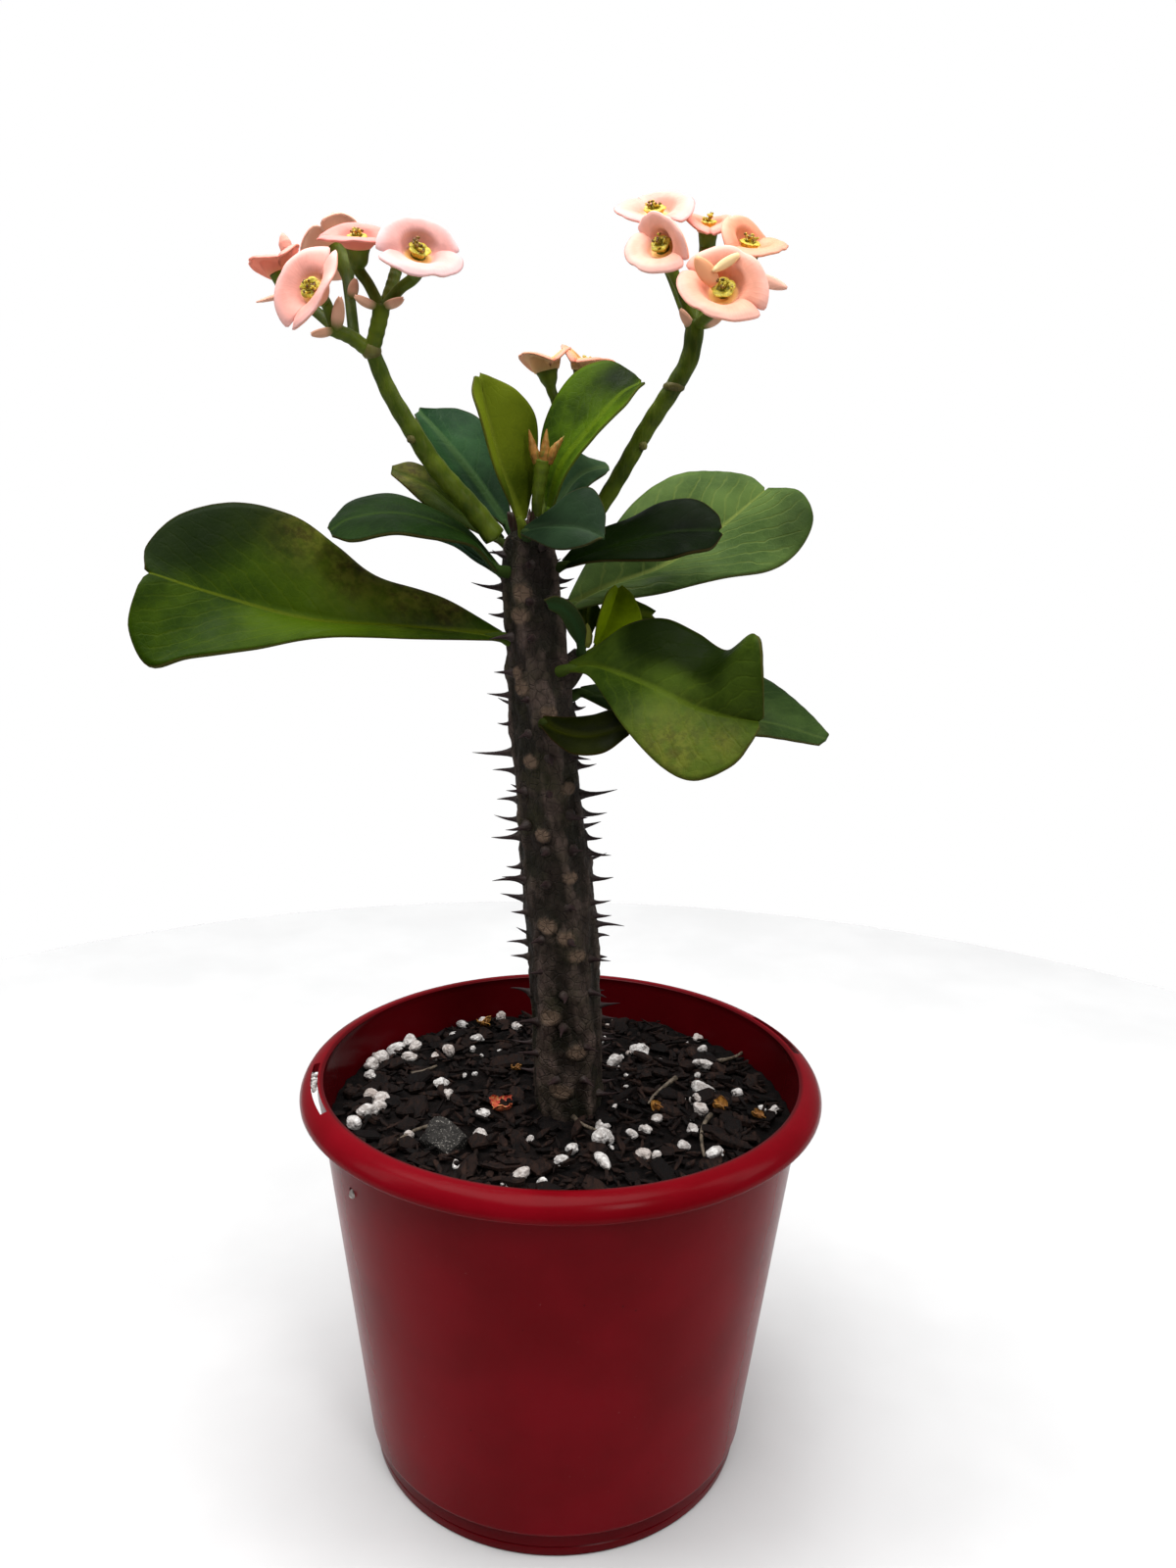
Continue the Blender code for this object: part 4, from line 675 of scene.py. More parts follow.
def thin_sheet(upper, lower):
    """Points and faces of a sheet between two grids, closed round its edge. The upper faces come first."""
    rows, columns = upper.shape[:2]
    count = rows * columns
    points = np.concatenate([upper.reshape(-1, 3), lower.reshape(-1, 3)])
    above = grid_faces(rows, columns)
    below = [tuple(count + i for i in reversed(face)) for face in above]
    rim = [(i, 0) for i in range(rows)] + [(rows - 1, j) for j in range(1, columns)]
    rim += [(i, columns - 1) for i in range(rows - 2, -1, -1)] + [(0, j) for j in range(columns - 2, 0, -1)]
    rim = [i * columns + j for i, j in rim]
    side = [(count + a, count + b, b, a) for a, b in zip(rim, rim[1:] + rim[:1])]
    return points, above + below + side


def facing_out(obj):
    """Turns a closed mesh's faces outwards."""
    bm = bmesh.new()
    bm.from_mesh(obj.data)
    bmesh.ops.recalc_face_normals(bm, faces=bm.faces)
    bm.to_mesh(obj.data)
    bm.free()
    return obj


def put(obj, slot, *nodes, materials):
    """Gives a piece its materials and the node it stands for. The slot is not used."""
    for made in materials:
        obj.data.materials.append(made)
    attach(obj, "root")
    if nodes:
        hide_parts(*nodes)
    return obj


# Materials

class Paint:
    """A short way to write a material's nodes."""

    def __init__(self, name, roughness, specular):
        self.material = bpy.data.materials.new(name)
        self.material.use_nodes = True
        self.tree = self.material.node_tree
        self.shader = self.tree.nodes["Principled BSDF"]
        self.shader.inputs["Roughness"].default_value = roughness
        self.shader.inputs["Specular IOR Level"].default_value = specular

    def node(self, kind, **settings):
        made = self.tree.nodes.new(kind)
        for key, setting in settings.items():
            setattr(made, key, setting)
        return made

    def feed(self, socket, value):
        if isinstance(value, bpy.types.NodeSocket):
            self.tree.links.new(value, socket)
        elif isinstance(value, tuple) and len(value) == 3 and socket.type == "RGBA":
            socket.default_value = (*value, 1)
        else:
            socket.default_value = value

    def place(self):
        return self.node("ShaderNodeTexCoord").outputs["Object"]

    def number(self, name):
        return self.node("ShaderNodeAttribute", attribute_name=name).outputs["Fac"]

    def split(self, vector):
        """The three numbers of a vector."""
        made = self.node("ShaderNodeSeparateXYZ")
        self.feed(made.inputs[0], vector)
        return tuple(made.outputs)

    def parts(self, name):
        """The three numbers of a vector kept for each point."""
        return self.split(self.node("ShaderNodeAttribute", attribute_name=name).outputs["Vector"])

    def noise(self, size, detail=3.0, roughness=0.55, stretch=None, distortion=0.0):
        """Noise with features of about this size in millimetres."""
        made = self.node("ShaderNodeTexNoise")
        vector = self.place()
        if stretch:
            mapping = self.node("ShaderNodeMapping")
            self.feed(mapping.inputs["Vector"], vector)
            mapping.inputs["Scale"].default_value = stretch
            vector = mapping.outputs[0]
        self.feed(made.inputs["Vector"], vector)
        made.inputs["Scale"].default_value = 1 / (size * MM)
        made.inputs["Detail"].default_value = detail
        made.inputs["Roughness"].default_value = roughness
        made.inputs["Distortion"].default_value = distortion
        return made.outputs["Fac"]

    def cells(self, size, feature="F1"):
        made = self.node("ShaderNodeTexVoronoi", feature=feature)
        self.feed(made.inputs["Vector"], self.place())
        made.inputs["Scale"].default_value = 1 / (size * MM)
        return made.outputs["Distance"]

    def maths(self, operation, *values):
        """A sum on single numbers."""
        made = self.node("ShaderNodeMath", operation=operation)
        for socket, value in zip(made.inputs, values):
            self.feed(socket, value)
        return made.outputs[0]

    def times(self, *values):
        return self.maths("MULTIPLY", *values)

    def plus(self, *values):
        return self.maths("ADD", *values)

    def between(self, value, low, high, to_low=0.0, to_high=1.0):
        """A smooth step from one number to another while the value goes from low to high."""
        made = self.node("ShaderNodeMapRange", interpolation_type="SMOOTHSTEP")
        for socket, number in zip(made.inputs, (value, low, high, to_low, to_high)):
            self.feed(socket, number)
        return made.outputs[0]

    def mix(self, share, first, second):
        """A colour between two, by share of the second."""
        made = self.node("ShaderNodeMix", data_type="RGBA")
        self.feed(made.inputs["Factor"], share)
        self.feed(made.inputs[6], first)
        self.feed(made.inputs[7], second)
        return made.outputs[2]

    def blend(self, value, low, high, first, second):
        """The first colour where the value is low, the second where it is high."""
        return self.mix(self.between(value, low, high), first, second)

    def finish(self, colour, roughness=None, height=None, depth=0.1):
        """Joins the colour, the roughness and a bump of this many millimetres to the shader."""
        self.feed(self.shader.inputs["Base Color"], colour)
        if roughness is not None:
            self.feed(self.shader.inputs["Roughness"], roughness)
        if height is not None:
            bump = self.node("ShaderNodeBump")
            bump.inputs["Distance"].default_value = depth * MM
            bump.inputs["Strength"].default_value = 1.0
            self.feed(bump.inputs["Height"], height)
            self.feed(self.shader.inputs["Normal"], bump.outputs[0])
        return self.material


def scaled(colour, factor):
    """A lighter or darker shade of a colour."""
    return tuple(part * factor for part in colour)


def leaf_paint(name, deep, light, rib_colour, veins, under):
    """Leaf skin: cloudy greens, painted light and shade, a rib, side veins that curve to the tip, blotches
    and a fine brown edge.
    """
    rib_share, vein_height, satin, dull = (0.75, 0.8, 0.5, 0.66) if under else (0.62, -0.6, 0.34, 0.52)
    paint = Paint(name, roughness=0.45, specular=0.022)
    along, aside, inside = paint.parts("leaf_place")
    out = paint.maths("ABSOLUTE", aside)
    cloud = paint.noise(14, detail=4)
    fine = paint.noise(2.2, detail=3)
    bent = paint.times(out, paint.maths("MULTIPLY_ADD", out, VEIN_CURVE, VEIN_LEAN))
    phase = paint.maths("DIVIDE", paint.maths("SUBTRACT", along, bent), VEIN_SPACING)
    phase = paint.plus(phase, paint.times(cloud, 2.2))
    ridge = paint.between(paint.maths("PINGPONG", phase, 0.5), 0.0, 0.13, 1.0, 0.0)
    ridge = paint.times(ridge, paint.between(inside, 0.5, 4.0))
    small = paint.between(paint.cells(1.9, "DISTANCE_TO_EDGE"), 0.0, 0.12, 1.0, 0.0)
    rib_width = paint.between(along, 0.0, 90.0, 1.35, 0.45)
    rib = paint.between(paint.maths("DIVIDE", out, rib_width), 0.35, 1.25, 1.0, 0.0)
    share = paint.between(cloud, 0.34, 0.68)
    share = paint.maths("MULTIPLY_ADD", fine, 0.25, paint.times(share, 0.8))
    colour = paint.mix(share, deep, light)
    # Painted light and shade from the leaf's spots, with a random cloudy tint added
    tint_and_painted_shading = paint.plus(paint.number("tint_and_painted_shading"), paint.maths("MULTIPLY_ADD", cloud, 0.5, -0.25))
    # Painted light: lighter green where the leaf is lit
    colour = paint.mix(paint.between(tint_and_painted_shading, 0.0, 1.0, 0.0, 0.75), colour, scaled(light, 1.25))
    colour = paint.mix(paint.times(ridge, 0.3 * veins), colour, rib_colour)
    colour = paint.mix(paint.times(small, 0.1), colour, scaled(light, 1.3))
    # Painted shade: darker green where the leaf lies in shade
    colour = paint.mix(paint.between(tint_and_painted_shading, -0.9, 0.0, 0.9, 0.0), colour, scaled(deep, 0.35))
    blotch = paint.number("blotch")
    rust = paint.between(paint.noise(3.4, detail=5, roughness=0.7), 0.42, 0.62)
    patch = paint.mix(rust, (0.14, 0.13, 0.02), (0.065, 0.035, 0.012))
    colour = paint.mix(paint.times(blotch, paint.between(fine, 0.3, 0.6, 0.45, 1.0)), colour, patch)
    colour = paint.mix(paint.times(rib, rib_share), colour, rib_colour)
    edge = paint.between(inside, 0.05, 0.35, 0.3, 0.0)
    colour = paint.mix(edge, colour, (0.07, 0.028, 0.012))
    relief = paint.plus(paint.times(ridge, vein_height * veins), paint.times(fine, 0.5))
    relief = paint.plus(relief, paint.times(small, -0.12))
    rough = paint.between(paint.noise(5), 0.3, 0.7, satin, dull)
    return paint.finish(colour, rough, relief, 0.16)


def pot_paint():
    """Moulded red plastic: a little cloudy, with painted shade on the inside, fine scuffs, dust specks and a
    satin skin.
    """
    paint = Paint("pot_red", roughness=0.24, specular=0.036)
    cloud = paint.noise(30, detail=4)
    colour = paint.blend(cloud, 0.3, 0.7, (0.115, 0.0012, 0.0035), (0.15, 0.0018, 0.0055))
    speck = paint.between(paint.cells(5.5), 0.035, 0.06, 1.0, 0.0)
    speck = paint.times(speck, paint.between(paint.noise(13, detail=1), 0.54, 0.6))
    colour = paint.mix(paint.times(speck, 0.7), colour, (0.035, 0.002, 0.003))
    # Painted shade: the plastic is darker inward of the middle of the wall, where shade falls inside the pot
    across, away, height = paint.split(paint.place())
    out = paint.maths("SQRT", paint.plus(paint.times(across, across), paint.times(away, away)))
    middle = paint.maths("MULTIPLY_ADD", height, WALL_SLOPE, (wall_radius(0) - WALL / 2) * MM)
    hidden = paint.between(paint.maths("SUBTRACT", out, middle), -0.0006, 0.0004, 0.62, 0.0)
    colour = paint.mix(hidden, colour, (0.02, 0.0006, 0.0012))
    dust = paint.between(paint.noise(1.3, detail=5, roughness=0.75), 0.66, 0.76)
    dust = paint.times(dust, paint.between(paint.noise(22, detail=2), 0.5, 0.66))
    colour = paint.mix(paint.times(dust, 0.28), colour, (0.5, 0.32, 0.3))
    streak = paint.noise(1.1, detail=2, stretch=(1, 1, 0.05))
    rough = paint.maths("MULTIPLY_ADD", paint.noise(16, detail=4), 0.16, 0.14)
    relief = paint.plus(paint.times(streak, 0.25), paint.noise(9, detail=3))
    return paint.finish(colour, rough, relief, 0.05)


def soil_paint():
    """Fine dark crumbs."""
    paint = Paint("soil_dark", roughness=0.95, specular=0.1)
    mixed = paint.noise(3, detail=6, roughness=0.7)
    colour = paint.blend(mixed, 0.35, 0.7, (0.0008, 0.0005, 0.0005), (0.006, 0.0034, 0.0028))
    return paint.finish(colour, None, mixed, 1.2)


def bark_paint():
    """Bark chips: near black to purple brown, with fibres."""
    paint = Paint("bark_chips", roughness=0.6, specular=0.09)
    tint = paint.number("tint")
    fibre = paint.noise(0.9, detail=4, stretch=(1, 0.25, 1), distortion=0.6)
    dark = paint.mix(tint, (0.001, 0.0005, 0.0004), (0.0062, 0.003, 0.0024))
    pale = paint.mix(tint, (0.004, 0.0021, 0.0018), (0.027, 0.0135, 0.0095))
    colour = paint.blend(fibre, 0.35, 0.7, dark, pale)
    return paint.finish(colour, paint.between(fibre, 0.3, 0.7, 0.6, 0.9), fibre, 0.4)


def perlite_paint():
    """White with pits, and with a brown stain on some grains."""
    paint = Paint("perlite_white", roughness=0.9, specular=0.25)
    pits = paint.cells(0.75)
    soft = paint.noise(1.6, detail=4)
    tint = paint.number("tint")
    colour = paint.blend(soft, 0.35, 0.7, (0.3, 0.275, 0.26), (0.64, 0.62, 0.6))
    colour = paint.mix(paint.times(tint, 0.5), colour, (0.3, 0.22, 0.18))
    colour = paint.mix(paint.between(pits, 0.0, 0.22, 0.4, 0.0), colour, (0.22, 0.18, 0.15))
    relief = paint.plus(pits, paint.times(soft, 0.8))
    return paint.finish(colour, None, relief, 0.35)


def stone_paint():
    """Dark grey with pale grains."""
    paint = Paint("stone_grey", roughness=0.8, specular=0.08)
    grain = paint.noise(0.55, detail=3, roughness=0.8)
    cloud = paint.noise(3, detail=3)
    dark = paint.blend(cloud, 0.3, 0.7, (0.008, 0.0075, 0.007), (0.026, 0.024, 0.022))
    colour = paint.blend(grain, 0.57, 0.68, dark, (0.3, 0.28, 0.25))
    return paint.finish(colour, None, grain, 0.2)


def petal_paint(name, first, second, third):
    """A dried bract: folded, with veins that run to its edge."""
    paint = Paint(name, roughness=0.6, specular=0.3)
    veins = paint.noise(0.8, detail=3, stretch=(1, 1, 0.3), distortion=0.8)
    cloud = paint.noise(3.2, detail=3)
    colour = paint.blend(cloud, 0.35, 0.65, first, second)
    colour = paint.blend(veins, 0.5, 0.68, colour, third)
    return paint.finish(colour, None, veins, 0.25)


def bark_skin_paint():
    """The stem: grey brown bark with olive patches, painted light that makes the ridges paler, painted shade
    that makes the furrows dark olive, and pale rings on the leaf scars.
    """
    paint = Paint("stem_skin", roughness=0.72, specular=0.15)
    height = paint.number("relief")
    scar = paint.number("scar")
    fibre = paint.noise(1.5, detail=5, roughness=0.65, stretch=(1, 1, 0.3), distortion=0.4)
    cloud = paint.noise(9, detail=4)
    dark = paint.blend(cloud, 0.35, 0.65, (0.010, 0.0085, 0.004), (0.02, 0.013, 0.0095))
    warm = paint.noise(5, detail=3)
    pale = paint.blend(warm, 0.35, 0.65, (0.058, 0.043, 0.03), (0.082, 0.055, 0.045))
    # Painted light and shade: paler where the relief stands out, dark in the furrows, broken by the fibres
    up = paint.plus(paint.between(height, -0.35, 0.85), paint.maths("MULTIPLY_ADD", fibre, 1.5, -0.85))
    colour = paint.mix(paint.maths("MINIMUM", paint.maths("MAXIMUM", up, 0.0), 1.0), dark, pale)
    olive = paint.times(paint.between(paint.noise(12, detail=3), 0.52, 0.66), 0.35)
    colour = paint.mix(olive, colour, (0.035, 0.035, 0.012))
    colour = paint.mix(paint.between(scar, 0.1, 0.7, 0.0, 0.9), colour, (0.14, 0.092, 0.062))
    crack = paint.between(paint.cells(2.4, "DISTANCE_TO_EDGE"), 0.0, 0.09, 1.0, 0.0)
    colour = paint.mix(paint.times(crack, 0.3), colour, (0.01, 0.008, 0.006))
    wrinkle = paint.noise(0.8, detail=4, stretch=(1, 1, 1.6))
    relief = paint.plus(paint.times(fibre, 1.2), paint.times(wrinkle, 0.5))
    relief = paint.plus(relief, paint.times(crack, -0.35))
    return paint.finish(colour, paint.between(fibre, 0.3, 0.7, 0.8, 0.55), relief, 0.55)


def spine_paint():
    """Grey brown, darker towards the tip."""
    paint = Paint("spine_dark", roughness=0.55, specular=0.2)
    tip = paint.number("tip")
    fine = paint.noise(0.9, detail=3)
    base = paint.blend(fine, 0.35, 0.7, (0.02, 0.014, 0.011), (0.048, 0.034, 0.028))
    colour = paint.blend(tip, 0.02, 0.4, base, (0.022, 0.011, 0.011))
    return paint.finish(colour, None, fine, 0.12)


def stalk_paint():
    """Stalk skin: green, yellower where it is young, with fine lengthwise grain. Scales are pinkish tan."""
    paint = Paint("stalk_skin", roughness=0.45, specular=0.15)
    grain = paint.noise(0.8, detail=3, stretch=(1, 1, 0.2))
    cloud = paint.noise(7, detail=3)
    young = paint.number("young")
    old = paint.blend(cloud, 0.35, 0.68, (0.026, 0.044, 0.002), (0.066, 0.098, 0.005))
    new = paint.blend(cloud, 0.3, 0.7, (0.075, 0.12, 0.006), (0.15, 0.2, 0.014))
    colour = paint.mix(young, old, new)
    colour = paint.mix(paint.between(grain, 0.45, 0.7, 0.0, 0.4), colour, (0.1, 0.115, 0.015))
    brown = paint.number("brown")
    colour = paint.mix(brown, colour, paint.mix(cloud, (0.6, 0.29, 0.17), (0.8, 0.48, 0.34)))
    return paint.finish(colour, None, grain, 0.18)


def bract_paint(name, face, rim, throat, under):
    """Bract skin: soft veins from the throat, a paler rim, a yellow green throat."""
    paint = Paint(name, roughness=0.5, specular=0.12)
    share, turn, _ = paint.parts("bract_place")
    cloud = paint.noise(4.5, detail=3)
    fan = paint.maths("SINE", paint.plus(paint.times(turn, 46.0), paint.times(cloud, 9.0)))
    veins = paint.between(fan, 0.3, 1.0)
    base = paint.blend(cloud, 0.35, 0.7, face, scaled(face, 0.86))
    base = paint.mix(paint.times(veins, 0.03), base, scaled(face, 0.75))
    base = paint.blend(share, 1.55, 2.0, base, rim)
    reach = paint.plus(share, paint.times(cloud, 0.35))
    colour = paint.blend(reach, 0.85, 1.35, throat, base)
    if under:
        colour = paint.mix(0.55, colour, under)
    height = paint.plus(paint.times(veins, 0.12), paint.noise(1.8, detail=2))
    return paint.finish(colour, paint.between(cloud, 0.3, 0.7, 0.42, 0.6), height, 0.08)


def centre_paint():
    """Yellow green to orange brown."""
    paint = Paint("flower_middle", roughness=0.5, specular=0.4)
    tint = paint.number("tint")
    fine = paint.noise(0.7, detail=3)
    green = paint.blend(fine, 0.35, 0.65, (0.4, 0.32, 0.02), (0.7, 0.58, 0.05))
    dark = paint.blend(fine, 0.35, 0.65, (0.08, 0.035, 0.006), (0.26, 0.13, 0.015))
    colour = paint.mix(tint, green, dark)
    return paint.finish(colour, None, fine, 0.2)


# Pot and soil

def wall_radius(height):
    """Outer radius of the pot's wall, which flares evenly up to the lip."""
    return BASE_RADIUS + LEDGE + (height - FOOT_HEIGHT) * WALL_SLOPE


def turned(profile, sides):
    """Points and faces of a closed shape spun round the Z axis from (radius, height) points."""
    angles = circle(sides)
    rings = [ring(radius, angles, height) for radius, height in profile[1:-1]]
    points = np.concatenate([*rings, [[0, 0, profile[0][1]]], [[0, 0, profile[-1][1]]]])
    return points, capped_faces(len(rings), sides)


def loose_object(name, bm):
    """An object from a bmesh, not yet in the scene."""
    mesh = bpy.data.meshes.new(name)
    bm.to_mesh(mesh)
    bm.free()
    return bpy.data.objects.new(name, mesh)


def arc_block(name, radii, heights, start, end):
    """An arc-shaped block, used to cut a slot."""
    bm = bmesh.new()
    (near, far), (low, high) = radii, heights
    section = ((near, low), (far, low), (far, high), (near, high))
    corners = [bm.verts.new((radius * MM, 0, height * MM)) for radius, height in section]
    face = bm.faces.new(corners)
    bmesh.ops.rotate(bm, verts=corners, matrix=Matrix.Rotation(math.radians(start), 3, "Z"))
    bmesh.ops.spin(bm, geom=[face, *face.edges, *face.verts], cent=(0, 0, 0), axis=(0, 0, 1),
                   angle=math.radians(end - start), steps=24, use_duplicate=False)
    bmesh.ops.recalc_face_normals(bm, faces=bm.faces)
    return loose_object(name, bm)


def peg(name, radius, length, matrix):
    """A round peg, used to cut a hole."""
    bm = bmesh.new()
    bmesh.ops.create_cone(bm, cap_ends=True, segments=28, radius1=radius * MM, radius2=radius * MM,
                          depth=length * MM, matrix=matrix)
    return loose_object(name, bm)


def pot_cutters():
    """The shapes of the two slots in the lip, the two holes under it and the drain holes."""
    heights = (POT_HEIGHT - 4.5, POT_HEIGHT + 3)
    cutters = [arc_block(f"slot_cut_{k}", SLOT_RADII, heights, *ends) for k, ends in enumerate(SLOT_ANGLES)]
    lying = Matrix.Rotation(math.pi / 2, 4, "Y")
    for k, angle in enumerate(SIDE_HOLE_ANGLES):
        turn = Matrix.Rotation(math.radians(angle), 4, "Z")
        reach = Matrix.Translation((wall_radius(SIDE_HOLE_HEIGHT) * MM, 0, SIDE_HOLE_HEIGHT * MM))
        cutters.append(peg(f"side_cut_{k}", SIDE_HOLE_RADIUS, 8, turn @ reach @ lying))
    for k in range(DRAIN_HOLES):
        place = (*polar(DRAIN_CIRCLE * MM, 2 * math.pi * (k + 0.5) / DRAIN_HOLES), 0)
        cutters.append(peg(f"drain_cut_{k}", DRAIN_RADIUS, 12, Matrix.Translation(place)))
    return cutters


def build_pot():
    """The moulded pot: foot band, flared wall, down-turned lip with rounded edges, slots and holes."""
    profile = [(0, BASE_RECESS), (20, BASE_RECESS), (38, BASE_RECESS)]
    profile += [(BASE_RADIUS + out, height) for out, height in FOOT_PROFILE]
    profile += [(wall_radius(height), height) for height in WALL_HEIGHTS]
    profile += [(wall_radius(106.8) + 0.1, 106.95)]
    profile += [(RIM_RADIUS + out, POT_HEIGHT - depth) for out, depth in LIP_PROFILE]
    profile += [(wall_radius(height) - WALL, height) for height in INNER_HEIGHTS]
    profile += [(BASE_RADIUS - 3.4, 2.6)]
    profile += [(radius, FLOOR_THICKNESS) for radius in (BASE_RADIUS - 5, 20, 0)]
    pot = facing_out(mesh_object("pot_moulded", *turned(profile, POT_SIDES)))
    cutters = pot_cutters()
    group = bpy.data.collections.new("cutters")
    for cutter in cutters:
        group.objects.link(cutter)
    cut = pot.modifiers.new("openings", "BOOLEAN")
    cut.operation = "DIFFERENCE"
    cut.operand_type = "COLLECTION"
    cut.collection = group
    cut.solver = "EXACT"
    graph = bpy.context.evaluated_depsgraph_get()
    mesh = bpy.data.meshes.new_from_object(pot.evaluated_get(graph))
    pot.modifiers.clear()
    pot.data = mesh
    for cutter in cutters:
        bpy.data.objects.remove(cutter, do_unlink=True)
    bpy.data.collections.remove(group)
    mesh.shade_smooth()
    mesh.set_sharp_from_angle(angle=math.radians(38))
    put(pot, "pot_plastic", "pot", materials=[pot_paint()])


def soil_height(x, y):
    """Height of the soil's surface: low swells, and a slight mound against the stem."""
    swell = 1.1 * noise.noise(Vector((x / 19, y / 19, 3.1))) + 0.7 * noise.noise(Vector((x / 7, y / 7, 8.4)))
    mound = 1.2 * bell(math.hypot(x - STEM_PLACE[0], y - STEM_PLACE[1]), 16)
    return SOIL_LEVEL + swell + mound


def on_soil(px, py):
    """Where the line of sight through a pixel meets the soil."""
    aim = FORWARD + RIGHT * ((px - PHOTO[0] / 2) / FOCAL_PX) + UP * ((PHOTO[1] / 2 - py) / FOCAL_PX)
    level = SOIL_LEVEL + 0.8
    for _ in range(3):
        place = Vector(CAMERA_PLACE) + aim * ((level - CAMERA_PLACE[2]) / aim.z)
        level = soil_height(place.x, place.y) + 0.8
    return place.x, place.y


def inside_wall(place, margin):
    """The place, moved in where it is nearer to the pot's wall than the margin."""
    reach = wall_radius(SOIL_LEVEL) - WALL - margin
    share = min(1, reach / math.hypot(*place))
    return place[0] * share, place[1] * share


def build_soil():
    """The potting mix's surface, a ring round the stem, with a skirt inside the pot."""
    outer = wall_radius(SOIL_LEVEL) - WALL - 0.15
    points = []
    for share in np.linspace(0, 1, SOIL_RINGS):
        for angle in circle(SOIL_SIDES):
            x, y = polar(SOIL_INNER + (outer - SOIL_INNER) * share, angle)
            x, y = x + STEM_PLACE[0] * (1 - share), y + STEM_PLACE[1] * (1 - share)
            points.append((x, y, soil_height(x, y) - 0.5))
    points = np.array(points)
    points[:, 2] += 0.55 * swirl(points, 4.2, 3) + 0.3 * swirl(points, 1.9, 4)
    points = np.concatenate([points, points[-SOIL_SIDES:] * [0.9, 0.9, 0.75]])
    faces = grid_faces(SOIL_RINGS, SOIL_SIDES, closed=True)
    below = SOIL_RINGS * SOIL_SIDES
    last = below - SOIL_SIDES
    for side in range(SOIL_SIDES):
        following = (side + 1) % SOIL_SIDES
        faces.append((last + side, below + side, below + following, last + following))
    soil = mesh_object("soil_ground", points, [face[::-1] for face in faces])
    put(soil, "potting_mix", "soil", materials=[soil_paint()])


def flake(outline, thickness, draw):
    """A flat flake: an outline, its raised middle face and its under side."""
    outline = np.array(outline)
    count = len(outline)
    middle = outline.mean(axis=0)
    inner = middle + (outline - middle) * 0.82
    tops = [thickness * draw.uniform(0.75, 1.15) for _ in range(count)]
    upper = np.column_stack([inner, tops])
    edge = np.column_stack([outline, np.array(tops) * 0.72])
    lower = np.column_stack([middle + (outline - middle) * 0.9, np.zeros(count)])
    points = np.concatenate([upper, edge, lower])
    faces = [tuple(range(count)), tuple(reversed(range(2 * count, 3 * count)))]
    for k in range(count):
        m = (k + 1) % count
        faces.append((k, count + k, count + m, m))
        faces.append((count + k, 2 * count + k, 2 * count + m, count + m))
    return points, faces


def turned_to(spin, tip, lean):
    """A turn about Y by lean, then about X by tip, then about Z by spin."""
    return np.array(
        Matrix.Rotation(spin, 3, "Z") @ Matrix.Rotation(tip, 3, "X") @ Matrix.Rotation(lean, 3, "Y")
    )


def soil_spot(draw, margin):
    """A random place on the soil, clear of the stem and of the wall by the margin."""
    reach = wall_radius(SOIL_LEVEL) - WALL - margin
    while True:
        radius = math.sqrt(draw.uniform(100, reach**2))
        x, y = polar(radius, draw.uniform(0, 2 * math.pi))
        if math.hypot(x - STEM_PLACE[0], y - STEM_PLACE[1]) > 10.5 + margin * 0.4:
            return x, y


def build_bark():
    """Bark chips from 5 to 14 mm, and shreds and crumbs between them."""
    draw = random.Random(21)
    lump = Lump()
    for count, lengths, widths, depths, lifts, lean, bend in (CHIPS, SHREDS):
        for _ in range(count):
            length, width, thickness = draw.uniform(*lengths), draw.uniform(*widths), draw.uniform(*depths)
            corners = draw.randint(5, 8)
            outline = []
            for k in range(corners):
                angle = 2 * math.pi * (k + draw.uniform(-0.28, 0.28)) / corners
                out = draw.uniform(0.72, 1.1)
                outline.append((out * length / 2 * math.cos(angle), out * width / 2 * math.sin(angle)))
            points, faces = flake(outline, thickness, draw)
            points[:, 2] += draw.uniform(-0.02, 0.05) * points[:, 0] ** 2 * bend
            x, y = soil_spot(draw, length / 2 + 0.4)
            turn = turned_to(draw.uniform(0, 6.3), draw.uniform(-lean, lean), draw.uniform(-lean, lean))
            place = [x, y, soil_height(x, y) + draw.uniform(*lifts)]
            lump.add(points @ turn.T + place, faces, tint=draw.random() ** 1.6)
    bark = facing_out(lump.build("bark_chips", smooth=False))
    put(bark, "potting_mix", "soil", materials=[bark_paint()])


def build_twigs():
    """Thin bent twigs that lie on the bark."""
    lump = Lump()
    steps = np.arange(9)
    for ends in TWIGS:
        start, end = (np.array([*on_soil(*pixel), 0.0]) for pixel in ends)
        side = np.cross(end - start, [0, 0, 1])
        path = np.linspace(start, end, 9) + side * 0.06 * np.sin(np.linspace(0, 3.6, 9))[:, None]
        for place in path:
            place[2] = soil_height(place[0], place[1]) + 1.5
        path[:, 2] = spline(path, 9)[:, 2]
        lump.add(*tube_points(path, np.linspace(0.75, 0.35, 9) * (0.9 + 0.1 * np.cos(steps)), 7))
    skin = petal_paint("twig_skin", (0.05, 0.036, 0.022), (0.13, 0.1, 0.07), (0.02, 0.014, 0.009))
    put(facing_out(lump.build("twigs")), "potting_mix", materials=[skin])


def ball(subdivisions):
    """Points and faces of a ball of radius 1."""
    bm = bmesh.new()
    bmesh.ops.create_icosphere(bm, subdivisions=subdivisions, radius=1)
    points = np.array([vert.co[:] for vert in bm.verts])
    faces = [tuple(vert.index for vert in face.verts) for face in bm.faces]
    bm.free()
    return points, faces


